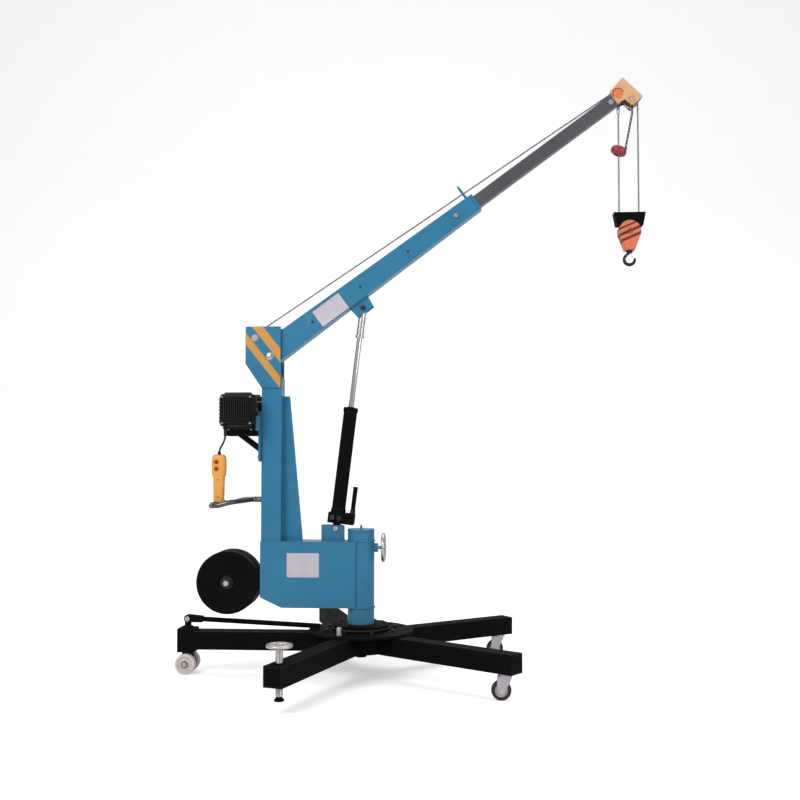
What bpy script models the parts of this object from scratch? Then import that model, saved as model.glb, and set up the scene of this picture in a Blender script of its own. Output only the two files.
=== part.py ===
"""A small mobile slewing floor crane: star base, mast, telescopic boom, ram, winch, rope and hook block."""

import math

import bmesh
import bpy
from mathutils import Matrix, Vector

# Running and seating gap between neighbouring pieces.
GAP = 0.0003

# Base: five legs on a drum under a round plate. X runs from the slewing axis toward the boom.
LEG_SIDE = 0.090
LEG_WALL = 0.005
LEG_TOP = 0.210
LEG_END_R = 0.920
LEG_BLOCK = 0.130
LEG_ANGLES = {
    "leg_tow": 180,
    "leg_left_front": 252,
    "leg_left_rear": 108,
    "leg_right_front": -36,
    "leg_right_rear": 36,
}
DRUM_R = 0.155
PLATE_R = 0.260
PLATE_THICK = 0.012
BOSS_R = 0.028
BOSS_DROP = 0.033
STOP_PIN_R = 0.0125
STOP_PIN_HEIGHT = 0.038
STOP_PIN_PLACE = (-0.086, -0.195)

# Steered tow end.
STEER_X = -0.870
STEER_BLOCK_HALF = 0.045
STEER_BLOCK_LOW = 0.105
STEER_BLOCK_TOP = 0.222
STEER_SHAFT_R = 0.018
STEER_WHEEL_R = 0.050
STEER_WHEEL_W = 0.035
STEER_WHEEL_Y = 0.048
STEER_AXLE_R = 0.010
TOW_PIN_RISE = 0.046
TOW_PIN_R = 0.007
TOW_EYE_HALF = 0.012
TOW_EYE_R = 0.018
TOW_EAR = 0.008
TOW_FORK = 0.075
TOW_BAR_R = 0.0125
TOW_BAR_LENGTH = 0.667

# Swivel casters and screw jacks, set in from the ends of their legs.
LEG_END_INSET = 0.060
CASTER_WHEEL_R = 0.045
CASTER_WHEEL_W = 0.034
CASTER_TRAIL = 0.020
CASTER_AXLE_R = 0.006
CASTER_PLATE = 0.004
CASTER_CROWN = 0.010
CASTER_CROWN_R = 0.036
JACK_SCREW_R = 0.0165
JACK_FOOT_LOW = 0.055
JACK_FOOT_R = 0.022
JACK_FOOT_H = 0.020
JACK_WHEEL_RISE = 0.076
JACK_WHEEL_R = 0.050
JACK_RIM_R = 0.0075

# Slewing post, lower box and mast.
RING_R = 0.140
RING_H = 0.028
KING_PIN_H = 0.170
POST_R = 0.0665
POST_WALL = 0.008
POST_RISE = 0.060
POST_CAP = 0.008
BOX_LEFT = -0.495
BOX_RIGHT = -0.020
BOX_LOW = 0.333
BOX_TOP = 0.658
BOX_HALF = 0.070
BOX_WALL = 0.005
BOX_CHAMFER = (0.1075, 0.050)
MAST_SIDE = 0.100
MAST_WALL = 0.005
MAST_TOP = 1.470
GUSSET_DROP = 0.090
GUSSET_REACH = (0.035, 0.103)
GUSSET_THICK = 0.012
LOCK_DROP = 0.0325
LOCK_BOSS_R = 0.022
LOCK_BOSS_X = 0.085
LOCK_STEM_R = 0.009
LOCK_WHEEL_X = 0.112
LOCK_WHEEL_R = 0.064
LOCK_RIM_R = 0.009

# Mast head, placed from the mast's back and top.
HEAD_BACK = 0.0825
HEAD_FRONT = 0.095
HEAD_LAP = 0.049
HEAD_RISE = 0.258
HEAD_CHAMFER = 0.120
HEAD_PLATE = 0.008
SHEAVE_BACK = 0.034
SHEAVE_RISE = 0.1995
SHEAVE_ROPE_R = 0.026
SHEAVE_BOLT_R = 0.010
PIVOT_FRONT = 0.0425
PIVOT_RISE = 0.1075
PIVOT_BOLT_R = 0.012
BOLT_HEAD = 0.008

# Boom, in its own frame: x along the boom from the pivot, z square to it.
BOOM_ANGLE = 36.2
BOOM_CENTRE = 0.016
BOOM_ROOT = -0.018
BOOM_MOUTH = 1.290
BOOM_ROOT_DEPTH = 0.126
BOOM_MOUTH_DEPTH = 0.086
BOOM_HALF = 0.0425
BOOM_WALL = 0.005
BOOM_COLLAR = 0.014
BOOM_CAVITY_FROM = 0.100
PIN_HOLE_R = 0.006
PIN_HOLE_FIRST = 0.272
PIN_HOLE_PITCH = 0.2967
GUIDE_BACK = 0.028
GUIDE_HALF = 0.018
GUIDE_HEIGHT = 0.062
GUIDE_WIRE_R = 0.004
LOCK_BOLT_R = 0.007
LOCK_HEAD_R = 0.012
INNER_OVERLAP = 0.540
INNER_REACH = 0.850
INNER_DEPTH = 0.062
INNER_HALF = 0.030
INNER_WALL = 0.004

# Ram lug under the boom.
LUG_X = 0.517
LUG_PIN_DROP = 0.036
LUG_HALF_LENGTH = 0.056
LUG_DEPTH = 0.062
LUG_BASE = 0.006
LUG_INNER = 0.0205
LUG_PLATE = 0.007
LUG_HEAD_R = 0.012

# Boom head and what it carries, as offsets from the inner boom's tip in the boom's frame.
TIP_SHEAVE_AT = (0.0699, -0.0342)
TIP_ROPE_R = 0.034
TIP_FRONT_ROOM = 0.0181
TIP_FRONT = TIP_SHEAVE_AT[0] + TIP_ROPE_R + TIP_FRONT_ROOM
TIP_TOP = ((0.005, 0.062), (0.1004, 0.0803))
TIP_LOW = ((TIP_FRONT, -0.0545), (0.0475, -0.0674), (0.040, -0.018), (0.005, -0.014))
TIP_OUTLINE = TIP_TOP + TIP_LOW
TIP_AXLE_R = 0.010
TIP_AXLE_END = 0.004
ROLLER_AT = (0.0334, 0.029)
ROLLER_ROPE_R = 0.024
ANCHOR_AT = (0.013, -0.006)
ANCHOR_R = 0.007
TIP_COVER = 0.005
TIP_PLATE = 0.006
TIP_PLUG = 0.050
TIP_BOLT_BACK = 0.020
TIP_BOLT_R = 0.006

# Rope, limit weight and hook block, hung from the tip sheave.
ROPE_R = 0.004
BLOCK_DROP = 0.662
BLOCK_HALF = 0.055
BLOCK_TAIL = 0.093
BLOCK_NECK = 0.024
BLOCK_THICK = 0.052
BLOCK_SLOT = 0.024
BLOCK_AXLE_R = 0.010
COVER_FROM = 0.030
COVER_TO = 0.095
COVER_ROOF = 0.018
COVER_HALF = (0.066, 0.078)
COVER_THICK = 0.066
WEIGHT_DROP = 0.252
WEIGHT_R = 0.040
WEIGHT_BORE = 0.016
WEIGHT_H = 0.046
WEIGHT_TILT = 24
CHAIN_R = 0.004
CHAIN_STRAIGHT = 0.080
HOOK_R = 0.026
HOOK_BAR_R = 0.0085
HOOK_COLLAR_R = 0.017
HOOK_COLLAR_H = 0.008
HOOK_SHANK = 0.018
HOOK_TIP = 15
LATCH_THICK = 0.003
LATCH_HALF = 0.006

# Ram, in its own frame: z along the ram from the base pin.
RAM_PIN_X = -0.125
RAM_PIN_RISE = 0.0625
RAM_PIN_R = 0.010
RAM_EYE_HALF = 0.014
RAM_EYE_R = 0.018
BARREL_R = 0.034
BARREL_TOP = 0.607
BARREL_GLAND = 0.025
BASE_SPAN = (-0.045, 0.085)
BASE_LOW = 0.026
BASE_TOP = 0.078
BASE_HALF = 0.038
ROD_R = 0.0135
ROD_LOW = 0.400
SLEEVE_R = 0.019
SLEEVE_LENGTH = 0.135
ROD_EYE_R = 0.016
PUMP_X = 0.072
PUMP_EYE_R = 0.012
SOCKET_R = 0.0115
SOCKET_BORE = 0.0085
SOCKET_LENGTH = 0.125
BRACKET_SPAN = (-0.072, 0.040)
BRACKET_RISE = 0.017
BRACKET_CUT = (0.018, 0.0065)
BRACKET_BASE = 0.008
BRACKET_PLATE = 0.008

# Counterweights, placed from the box's back.
WEIGHTS_BACK = 0.1625
WEIGHTS_Z = 0.455
DISC_R = 0.155
DISC_W = 0.034
ARM_HALF = 0.010
ARM_HIGH = 0.080
ARM_PAST = 0.045
WEIGHT_SHAFT_R = 0.016
WEIGHT_NUT_R = 0.026
WEIGHT_NUT_W = 0.016

# Winch and pendant, placed from the mast's back.
WINCH_BACK = (0.1925, 0.017)
WINCH_LOW = 1.223
WINCH_HIGH = 0.165
COVER_Y = (0.062, 0.165)
MOTOR_R = 0.060
MOTOR_REACH = 0.050
DRUM_BACK = 0.105
DRUM_RISE = 0.080
WINCH_DRUM_R = 0.044
WINCH_FLANGE_R = 0.066
WINCH_SHAFT_R = 0.014
SHELF_HIGH = 0.043
SHELF_HALF = 0.085
SHELF_PLATE = 0.008
WINCH_PLATE_DROP = 0.170
WINCH_PLATE_RISE = 0.080
WINCH_PLATE_HALF = 0.070
WINCH_PLATE_THICK = 0.012
BRACE_R = 0.009
PENDANT_BACK = 0.195
PENDANT_Y = -0.125
PENDANT_DROP = 0.135
PENDANT_HEAD = 0.095
PENDANT_LENGTH = 0.235
PENDANT_HALF = (0.035, 0.0275)
PENDANT_DEPTH = 0.048
CABLE_R = 0.005
GLAND_R = 0.011
GLAND_DROP = 0.012
GLAND_FRONT = 0.030
BUTTON_R = 0.009
BUTTON_STAND = 0.006
BUTTON_SINK = 0.006
BUTTON_TRAVEL = 0.004
BUTTON_DROPS = {"button_up": 0.036, "button_down": 0.070}
BUTTON_BACK = 0.0085

# Push handle behind the mast.
HANDLE_R = 0.0125
HANDLE_Z = 0.863
HANDLE_FALL = 0.025
HANDLE_REACH = 0.2275
HANDLE_HALF = 0.170
HANDLE_FOOT = 0.034

# Sides of round pieces.
ROUND = 16
FINE = 24
SMALL = 12

BOOM_TURN = math.radians(BOOM_ANGLE)
SHEAVE_X = BOX_LEFT - SHEAVE_BACK
SHEAVE_Z = MAST_TOP + SHEAVE_RISE
PIVOT_X = BOX_LEFT + PIVOT_FRONT
PIVOT_Z = MAST_TOP + PIVOT_RISE


def boom_to_crane(x, z):
    """A point of the boom's frame, in the crane's X and Z."""
    c = math.cos(BOOM_TURN)
    s = math.sin(BOOM_TURN)
    return PIVOT_X + c * x - s * z, PIVOT_Z + s * x + c * z


def underside(x):
    """Height of the outer boom's underside in the boom's frame."""
    share = (x - BOOM_ROOT) / (BOOM_MOUTH - BOOM_ROOT)
    return BOOM_CENTRE - (BOOM_ROOT_DEPTH + share * (BOOM_MOUTH_DEPTH - BOOM_ROOT_DEPTH)) / 2


INNER_TIP = BOOM_MOUTH + INNER_REACH


def at_tip(offset):
    """A point of the boom's frame, given as an offset from the inner boom's tip."""
    return INNER_TIP + offset[0], offset[1]


TIP_SHEAVE = at_tip(TIP_SHEAVE_AT)
ROLLER = at_tip(ROLLER_AT)
ANCHOR = at_tip(ANCHOR_AT)
TIP_X, TIP_Z = boom_to_crane(*TIP_SHEAVE)
DEAD_FALL_X, ANCHOR_Z = boom_to_crane(*ANCHOR)
LIVE_FALL_X = TIP_X + TIP_ROPE_R
BLOCK_X = (LIVE_FALL_X + DEAD_FALL_X) / 2
BLOCK_Z = TIP_Z - BLOCK_DROP
HOOK_SHEAVE_R = (LIVE_FALL_X - DEAD_FALL_X) / 2
LUG_PIN = (LUG_X, underside(LUG_X) - LUG_PIN_DROP)
LUG_PIN_X, LUG_PIN_Z = boom_to_crane(*LUG_PIN)
RAM_PIN_Z = BOX_TOP + RAM_PIN_RISE
RAM_LENGTH = math.hypot(LUG_PIN_X - RAM_PIN_X, LUG_PIN_Z - RAM_PIN_Z)
RAM_TILT = math.atan2(LUG_PIN_X - RAM_PIN_X, LUG_PIN_Z - RAM_PIN_Z)
PLATE_LOW = LEG_TOP + GAP
PLATE_TOP = PLATE_LOW + PLATE_THICK
LEG_LOW = LEG_TOP - LEG_SIDE
RING_TOP = PLATE_TOP + GAP + RING_H
MAST_RIGHT = BOX_LEFT + MAST_SIDE
MAST_LOW = BOX_TOP + GAP
DRUM_X = BOX_LEFT - DRUM_BACK
DRUM_Z = WINCH_LOW + DRUM_RISE
ROPE_ENTRY_Z = DRUM_Z + WINCH_DRUM_R + ROPE_R + GAP

# The frame stands midway between the steered wheels' back and the block cover's front.
FRAME_X = -(BLOCK_X + COVER_HALF[1] + STEER_X - STEER_WHEEL_R) / 2

# Base colour, roughness and metalness of each finish.
FINISHES = {
    "blue": ((0.032, 0.202, 0.381), 0.38, 0.0),
    "black": ((0.012, 0.012, 0.014), 0.40, 0.0),
    "steel": ((0.62, 0.61, 0.60), 0.30, 1.0),
    "rope": ((0.30, 0.30, 0.31), 0.45, 1.0),
    "grey": ((0.090, 0.084, 0.102), 0.45, 0.0),
    "peach": ((0.775, 0.456, 0.223), 0.45, 0.0),
    "orange": ((0.791, 0.205, 0.102), 0.42, 0.0),
    "crimson": ((0.305, 0.013, 0.032), 0.40, 0.0),
    "amber": ((0.831, 0.352, 0.061), 0.45, 0.0),
    "wheel": ((0.679, 0.610, 0.578), 0.50, 0.0),
    "fork": ((0.376, 0.305, 0.352), 0.35, 0.6),
}

# Turns that bring the Z axis onto each axis.
TURNS = {
    "X": Matrix.Rotation(math.pi / 2, 4, "Y"),
    "Y": Matrix.Rotation(-math.pi / 2, 4, "X"),
    "Z": Matrix.Identity(4),
}


def new_collection(name):
    collection = bpy.data.collections.new(name)
    bpy.context.scene.collection.children.link(collection)
    return collection


for old in list(bpy.data.objects):
    bpy.data.objects.remove(old, do_unlink=True)
PARTS = new_collection("slewing_floor_crane")
CUTTERS = new_collection("cutters")


def frame_at(name, parent, place, turn=(0, 0, 0)):
    """A named frame that pieces are placed in."""
    empty = bpy.data.objects.new(name, None)
    PARTS.objects.link(empty)
    empty.parent = parent
    empty.location = place
    empty.rotation_euler = turn
    return empty


def finish(colour, name):
    material = bpy.data.materials.new(name)
    material.use_nodes = True
    shader = material.node_tree.nodes["Principled BSDF"]
    base, rough, metal = FINISHES[colour]
    shader.inputs["Base Color"].default_value = (*base, 1)
    shader.inputs["Roughness"].default_value = rough
    shader.inputs["Metallic"].default_value = metal
    return material


def loose(bm):
    """A mesh object that is in no collection yet."""
    mesh = bpy.data.meshes.new("shape")
    bm.to_mesh(mesh)
    bm.free()
    return bpy.data.objects.new("shape", mesh)


def block(x, y, z, bevel=0.0):
    """A box between the given ends along each axis."""
    bm = bmesh.new()
    bmesh.ops.create_cube(bm, size=1)
    size = Matrix.Diagonal((x[1] - x[0], y[1] - y[0], z[1] - z[0], 1))
    middle = Vector((sum(x) / 2, sum(y) / 2, sum(z) / 2))
    bmesh.ops.transform(bm, matrix=Matrix.Translation(middle) @ size, verts=bm.verts)
    if bevel:
        bmesh.ops.bevel(bm, geom=bm.edges[:], offset=bevel, segments=2, profile=0.5, affect="EDGES")
    return loose(bm)


def both(reach):
    """The span from minus a reach to plus it."""
    return -reach, reach


def bar(radius, span, place=(0, 0), axis="Z", sides=ROUND):
    """A round bar along an axis; place is its other two coordinates."""
    bm = bmesh.new()
    length = span[1] - span[0]
    bmesh.ops.create_cone(bm, cap_ends=True, segments=sides, radius1=radius, radius2=radius, depth=length)
    middle = list(place)
    middle.insert("XYZ".index(axis), sum(span) / 2)
    bmesh.ops.transform(bm, matrix=Matrix.Translation(middle) @ TURNS[axis], verts=bm.verts)
    return loose(bm)


def bore(radius, span, place=(0, 0), axis="Z", sides=ROUND):
    """A cutter for a hole whose flats clear a bar of this radius by the gap."""
    return bar((radius + GAP) / math.cos(math.pi / sides), span, place, axis, sides)


def tie(radius, start, end, sides=12):
    """A round bar between two points."""
    run = Vector(end) - Vector(start)
    bm = bmesh.new()
    bmesh.ops.create_cone(bm, cap_ends=True, segments=sides, radius1=radius, radius2=radius, depth=run.length)
    turn = run.to_track_quat("Z", "Y").to_matrix().to_4x4()
    middle = (Vector(start) + Vector(end)) / 2
    bmesh.ops.transform(bm, matrix=Matrix.Translation(middle) @ turn, verts=bm.verts)
    return loose(bm)


def made_mesh(obj):
    """The evaluated mesh of an object, welded, in a new object; the old one is removed."""
    CUTTERS.objects.link(obj)
    graph = bpy.context.evaluated_depsgraph_get()
    mesh = bpy.data.meshes.new_from_object(obj.evaluated_get(graph))
    mesh.transform(obj.matrix_world)
    bm = bmesh.new()
    bm.from_mesh(mesh)
    bmesh.ops.remove_doubles(bm, verts=bm.verts, dist=0.00001)
    bmesh.ops.recalc_face_normals(bm, faces=bm.faces)
    bpy.data.objects.remove(obj, do_unlink=True)
    return loose(bm)


def outline(points, span):
    """A flat outline in X and Z, given thickness along Y."""
    curve = bpy.data.curves.new("outline", "CURVE")
    curve.dimensions = "2D"
    curve.fill_mode = "BOTH"
    curve.extrude = (span[1] - span[0]) / 2
    spline = curve.splines.new("POLY")
    spline.points.add(len(points) - 1)
    for point, (x, z) in zip(spline.points, points):
        point.co = (x, z, 0, 1)
    spline.use_cyclic_u = True
    obj = bpy.data.objects.new("outline", curve)
    obj.matrix_world = Matrix.Translation((0, sum(span) / 2, 0)) @ Matrix.Rotation(math.pi / 2, 4, "X")
    return made_mesh(obj)


def wire(points, radius, resolution=2):
    """A round wire along points."""
    curve = bpy.data.curves.new("wire", "CURVE")
    curve.dimensions = "3D"
    curve.bevel_depth = radius
    curve.bevel_resolution = resolution
    curve.use_fill_caps = True
    spline = curve.splines.new("POLY")
    spline.points.add(len(points) - 1)
    for point, place in zip(spline.points, points):
        point.co = (*place, 1)
    return made_mesh(bpy.data.objects.new("wire", curve))


def turned(profile, place=(0, 0, 0), axis="Z", sides=FINE):
    """A profile of radius and height turned about an axis; one that doesn't end on the axis is closed."""
    mesh = bpy.data.meshes.new("profile")
    count = len(profile)
    edges = [(i, i + 1) for i in range(count - 1)]
    if profile[0][0] > 0:
        edges.append((count - 1, 0))
    mesh.from_pydata([(r, 0, h) for r, h in profile], edges, [])
    obj = bpy.data.objects.new("profile", mesh)
    screw = obj.modifiers.new("turn", "SCREW")
    screw.axis = "Z"
    screw.steps = sides
    screw.render_steps = sides
    screw.use_merge_vertices = True
    screw.merge_threshold = 0.00001
    obj.matrix_world = Matrix.Translation(place) @ TURNS[axis]
    return made_mesh(obj)


def ring(middle, tube, place, axis, sides=20, around=8):
    """A round rim."""
    steps = [2 * math.pi * i / around for i in range(around)]
    return turned([(middle + tube * math.cos(a), tube * math.sin(a)) for a in steps], place, axis, sides)


def arc(centre, radius, start, end, steps):
    """Points of an arc in X and Z, with angles in degrees."""
    turns = [math.radians(start + (end - start) * i / steps) for i in range(steps + 1)]
    return [(centre[0] + radius * math.cos(a), centre[1] + radius * math.sin(a)) for a in turns]


def between(p, q, r, s, t):
    """A smooth value between q and r, led by the values on both sides."""
    return 0.5 * (2 * q + (r - p) * t + (2 * p - 5 * q + 4 * r - s) * t**2 + (3 * q - p - 3 * r + s) * t**3)


def smooth_route(points, per_span):
    """Points of a smooth curve through the route's own points."""
    ends = [points[0], *points, points[-1]]
    route = []
    for four in zip(ends, ends[1:], ends[2:], ends[3:]):
        for i in range(per_span):
            route.append(tuple(between(*values, i / per_span) for values in zip(*four)))
    return [*route, points[-1]]


def shaped(obj, tool, operation):
    """Adds a cutter, or a shape to be joined, to an object."""
    CUTTERS.objects.link(tool)
    tool.hide_render = True
    tool.display_type = "WIRE"
    step = obj.modifiers.new(operation.lower(), "BOOLEAN")
    step.operation = operation
    step.solver = "EXACT"
    step.object = tool
    return tool


def piece(name, parent, colour, shape, joins=(), cuts=(), last=(), pivot=(0, 0, 0)):
    """A named piece: a shape, what is joined to it, cut from it and joined last; its origin is at pivot."""
    tools = [shaped(shape, tool, "UNION") for tool in joins]
    tools += [shaped(shape, tool, "DIFFERENCE") for tool in cuts]
    tools += [shaped(shape, tool, "UNION") for tool in last]
    shape.name = name
    PARTS.objects.link(shape)
    for obj in (shape, *tools):
        obj.parent = parent
        obj.data.transform(Matrix.Translation(-Vector(pivot)))
        obj.location = pivot
    shape.data.name = name
    shape.data.materials.append(finish(colour, name + "_finish"))
    shape.data.shade_smooth()
    shape.data.set_sharp_from_angle(angle=math.radians(30))


def spoked_wheel(rim_r, tube, hub, axis, spokes):
    """A handwheel's rim at the frame's origin, and its hub and spokes to be joined to it."""
    extras = [bar(hub[0], both(hub[1] / 2), (0, 0), axis, SMALL)]
    for i in range(spokes):
        angle = 2 * math.pi * (i + 0.13) / spokes
        out = TURNS[axis] @ Vector((math.cos(angle), math.sin(angle), 0))
        extras.append(tie(tube * 0.8, (0, 0, 0), out * rim_r, 8))
    return ring(rim_r, tube, (0, 0, 0), axis), extras


def make_base(root):
    boss_low = LEG_LOW - BOSS_DROP
    profile = [(0, PLATE_TOP), (PLATE_R, PLATE_TOP), (PLATE_R, PLATE_LOW), (DRUM_R, PLATE_LOW)]
    profile += [(DRUM_R, LEG_LOW), (BOSS_R, LEG_LOW), (BOSS_R, boss_low), (0, boss_low)]
    pin = bar(STOP_PIN_R, (PLATE_TOP - 0.002, PLATE_TOP + STOP_PIN_HEIGHT), STOP_PIN_PLACE, sides=SMALL)
    piece("base_hub", root, "black", turned(profile, sides=36), [pin])
    for name, angle in LEG_ANGLES.items():
        make_leg(name, frame_at(name + "_frame", root, (0, 0, 0), (0, 0, math.radians(angle))))
    pin_r = POST_R - POST_WALL - GAP
    pin_top = RING_TOP + KING_PIN_H
    profile = [(0, pin_top), (pin_r, pin_top), (pin_r, RING_TOP), (RING_R, RING_TOP)]
    profile += [(RING_R, PLATE_TOP + GAP), (0, PLATE_TOP + GAP)]
    piece("slew_bearing", root, "black", turned(profile))


def make_leg(name, frame):
    half = LEG_SIDE / 2
    inner = half - LEG_WALL
    start = DRUM_R + GAP
    end = -STEER_X if name == "leg_tow" else LEG_END_R
    tube = block((start, end), both(half), (LEG_LOW, LEG_TOP))
    hollow = block((start - 0.01, end - LEG_BLOCK), both(inner), (LEG_LOW + LEG_WALL, LEG_TOP - LEG_WALL))
    joins = []
    cuts = [hollow]
    if name == "leg_tow":
        side = STEER_BLOCK_HALF
        high = (STEER_BLOCK_LOW, STEER_BLOCK_TOP)
        joins.append(block((end - side, end + side), both(side + 0.001), high, 0.004))
        cuts.append(bore(STEER_SHAFT_R, (high[0] - 0.01, high[1] + 0.01), (end, 0)))
    elif "left" in name:
        cuts.append(bore(JACK_SCREW_R, (LEG_LOW - 0.01, LEG_TOP + 0.01), (LEG_END_R - LEG_END_INSET, 0)))
    piece(name, frame, "black", tube, joins, cuts)


def make_steering(root):
    frame = frame_at("steer_axis", root, (STEER_X, 0, 0))
    low = STEER_WHEEL_R - STEER_SHAFT_R
    post_half = STEER_WHEEL_Y - STEER_WHEEL_W / 2 - 2 * GAP
    axle_end = STEER_WHEEL_Y + STEER_WHEEL_W / 2 + 0.006
    seat = STEER_BLOCK_TOP + GAP
    pin_z = STEER_BLOCK_TOP + TOW_PIN_RISE
    pin_end = TOW_EYE_HALF + TOW_EAR + 0.006
    joins = [
        block(both(STEER_SHAFT_R + 0.004), both(post_half), (low, STEER_BLOCK_LOW - GAP)),
        bar(STEER_AXLE_R, both(axle_end), (0, STEER_WHEEL_R), "Y"),
        bar(STEER_SHAFT_R + 0.008, (seat, seat + 0.008)),
        block(both(0.014), both(TOW_EYE_HALF), (seat, pin_z + 0.014)),
        bar(TOW_PIN_R, both(pin_end), (0, pin_z), "Y", SMALL),
    ]
    piece("steer_spindle", frame, "black", bar(STEER_SHAFT_R, (low, seat + 0.002)), joins)
    for name, side in (("steer_wheel_near", -1), ("steer_wheel_far", 1)):
        place = (0, side * STEER_WHEEL_Y, STEER_WHEEL_R)
        make_wheel(name, frame, place, STEER_WHEEL_R, STEER_WHEEL_W, STEER_AXLE_R)
    make_tow_bar(frame, pin_z)


def make_tow_bar(frame, pin_z):
    # The bar lies inward from its pin, with its far end on the base plate.
    drop = pin_z - (PLATE_TOP + GAP + TOW_BAR_R)
    axis = frame_at("tow_axis", frame, (0, 0, pin_z), (0, math.asin(drop / TOW_BAR_LENGTH), 0))
    slot = TOW_EYE_HALF + GAP
    thick = TOW_BAR_R + 0.002
    shape = arc((0, 0), TOW_EYE_R, 90, 270, 10) + [(TOW_FORK, -thick), (TOW_FORK, thick)]
    cuts = [
        block((-0.05, 0.6 * TOW_FORK), both(slot), both(0.05)),
        bore(TOW_PIN_R, both(0.05), (0, 0), "Y", SMALL),
    ]
    handle = bar(TOW_BAR_R, (TOW_FORK - 0.015, TOW_BAR_LENGTH), (0, 0), "X", SMALL)
    piece("tow_bar", axis, "black", outline(shape, both(slot + TOW_EAR)), [handle], cuts)


def make_wheel(name, frame, place, radius, width, axle_r):
    half = width / 2
    dish = half - 0.004
    hub = radius * 0.45
    hole = (axle_r + GAP) / math.cos(math.pi / FINE)
    side = [(hole, half), (hub, half), (hub + 0.003, dish), (radius * 0.74, dish), (radius * 0.78, half)]
    side += [(radius - 0.006, half), (radius, half - 0.006)]
    profile = side + [(r, -h) for r, h in reversed(side)]
    piece(name, frame, "wheel", turned(profile, place, "Y"), pivot=place)


def leg_end_frame(name, root, leg):
    """A frame on the floor under the end of a leg."""
    angle = math.radians(LEG_ANGLES[leg])
    radius = LEG_END_R - LEG_END_INSET
    return frame_at(name + "_axis", root, (radius * math.cos(angle), radius * math.sin(angle), 0))


def make_caster(name, frame):
    top = LEG_LOW - GAP
    low = top - CASTER_CROWN
    inner = CASTER_WHEEL_W / 2 + 2 * GAP
    outer = inner + CASTER_PLATE
    axle = (-CASTER_TRAIL, CASTER_WHEEL_R)
    cheek = [(0.026, low + 0.004), (-0.034, low + 0.004), *arc(axle, 0.020, 180, 360, 10)]
    joins = [
        block((-0.034, 0.026), both(outer), (low, low + 0.005)),
        outline(cheek, (inner, outer)),
        outline(cheek, (-outer, -inner)),
        bar(CASTER_AXLE_R, both(outer + 0.003), axle, "Y", SMALL),
    ]
    piece(name + "_fork", frame, "fork", bar(CASTER_CROWN_R, (low, top)), joins)
    place = (-CASTER_TRAIL, 0, CASTER_WHEEL_R)
    make_wheel(name + "_wheel", frame, place, CASTER_WHEEL_R, CASTER_WHEEL_W, CASTER_AXLE_R)


def make_jack(name, frame):
    foot_top = JACK_FOOT_LOW + JACK_FOOT_H
    piece(name + "_foot", frame, "black", bar(JACK_FOOT_R, (JACK_FOOT_LOW, foot_top)))
    wheel_z = LEG_TOP + JACK_WHEEL_RISE
    axis = frame_at(name + "_screw_axis", frame, (0, 0, wheel_z))
    rim, extras = spoked_wheel(JACK_WHEEL_R, JACK_RIM_R, (0.020, 0.032), "Z", 3)
    screw = bar(JACK_SCREW_R, (foot_top + GAP - wheel_z, -0.0105))
    piece(name + "_screw", axis, "steel", rim, [*extras, screw])


def make_post(upper):
    low = RING_TOP + GAP
    top = BOX_TOP + POST_RISE
    cap_low = top - POST_CAP
    inner = POST_R - POST_WALL
    cap_r = POST_R + 0.0015
    profile = [(0, cap_low), (inner, cap_low), (inner, low), (POST_R, low), (POST_R, cap_low)]
    profile += [(cap_r, cap_low), (cap_r, top), (0, top)]
    lock_z = BOX_TOP - LOCK_DROP
    joins = [
        bar(0.006, (top - 0.002, top + 0.014), sides=12),
        bar(LOCK_BOSS_R, (inner + 0.002, LOCK_BOSS_X), (0, lock_z), "X"),
    ]
    cuts = [bore(LOCK_STEM_R, (inner - 0.01, LOCK_BOSS_X + 0.01), (0, lock_z), "X", SMALL)]
    piece("swivel_post", upper, "blue", turned(profile), joins, cuts)
    axis = frame_at("slew_lock_axis", upper, (LOCK_WHEEL_X, 0, lock_z))
    rim, extras = spoked_wheel(LOCK_WHEEL_R, LOCK_RIM_R, (0.018, 0.022), "X", 4)
    stem = bar(LOCK_STEM_R, (inner + GAP - LOCK_WHEEL_X, -0.0085), (0, 0), "X", SMALL)
    piece("slew_lock_wheel", axis, "steel", rim, [*extras, stem])


def make_lower_box(upper):
    run, rise = BOX_CHAMFER
    wall = BOX_WALL
    bend = BOX_LEFT + run
    shell = [(BOX_LEFT, BOX_TOP), (BOX_LEFT, BOX_LOW + rise), (bend, BOX_LOW), (BOX_RIGHT, BOX_LOW)]
    shell.append((BOX_RIGHT, BOX_TOP))
    inside = [(BOX_LEFT + wall, BOX_TOP - wall), (BOX_LEFT + wall, BOX_LOW + rise + wall)]
    inside += [(bend + wall, BOX_LOW + wall), (0.05, BOX_LOW + wall), (0.05, BOX_TOP - wall)]
    cuts = [
        outline(inside, both(BOX_HALF - wall)),
        bore(POST_R, (BOX_LOW - 0.01, BOX_TOP + 0.01), sides=FINE),
    ]
    piece("lower_box", upper, "blue", outline(shell, both(BOX_HALF)), (), cuts)


def make_mast(upper):
    half = MAST_SIDE / 2
    wall = MAST_WALL
    tube = block((BOX_LEFT, MAST_RIGHT), both(half), (MAST_LOW, MAST_TOP))
    root_x = MAST_RIGHT - 0.001
    top = MAST_TOP - GUSSET_DROP
    gusset = [(root_x, top), (MAST_RIGHT + GUSSET_REACH[0], top), (MAST_RIGHT + GUSSET_REACH[1], MAST_LOW)]
    gusset.append((root_x, MAST_LOW))
    entry = (ROPE_ENTRY_Z - 0.012, ROPE_ENTRY_Z + 0.022)
    cuts = [
        block((BOX_LEFT + wall, MAST_RIGHT - wall), both(half - wall), (MAST_LOW + 0.01, MAST_TOP + 0.01)),
        block((BOX_LEFT - 0.01, BOX_LEFT + 0.02), both(0.012), entry),
    ]
    piece("mast", upper, "blue", tube, [outline(gusset, both(GUSSET_THICK / 2))], cuts)


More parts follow.
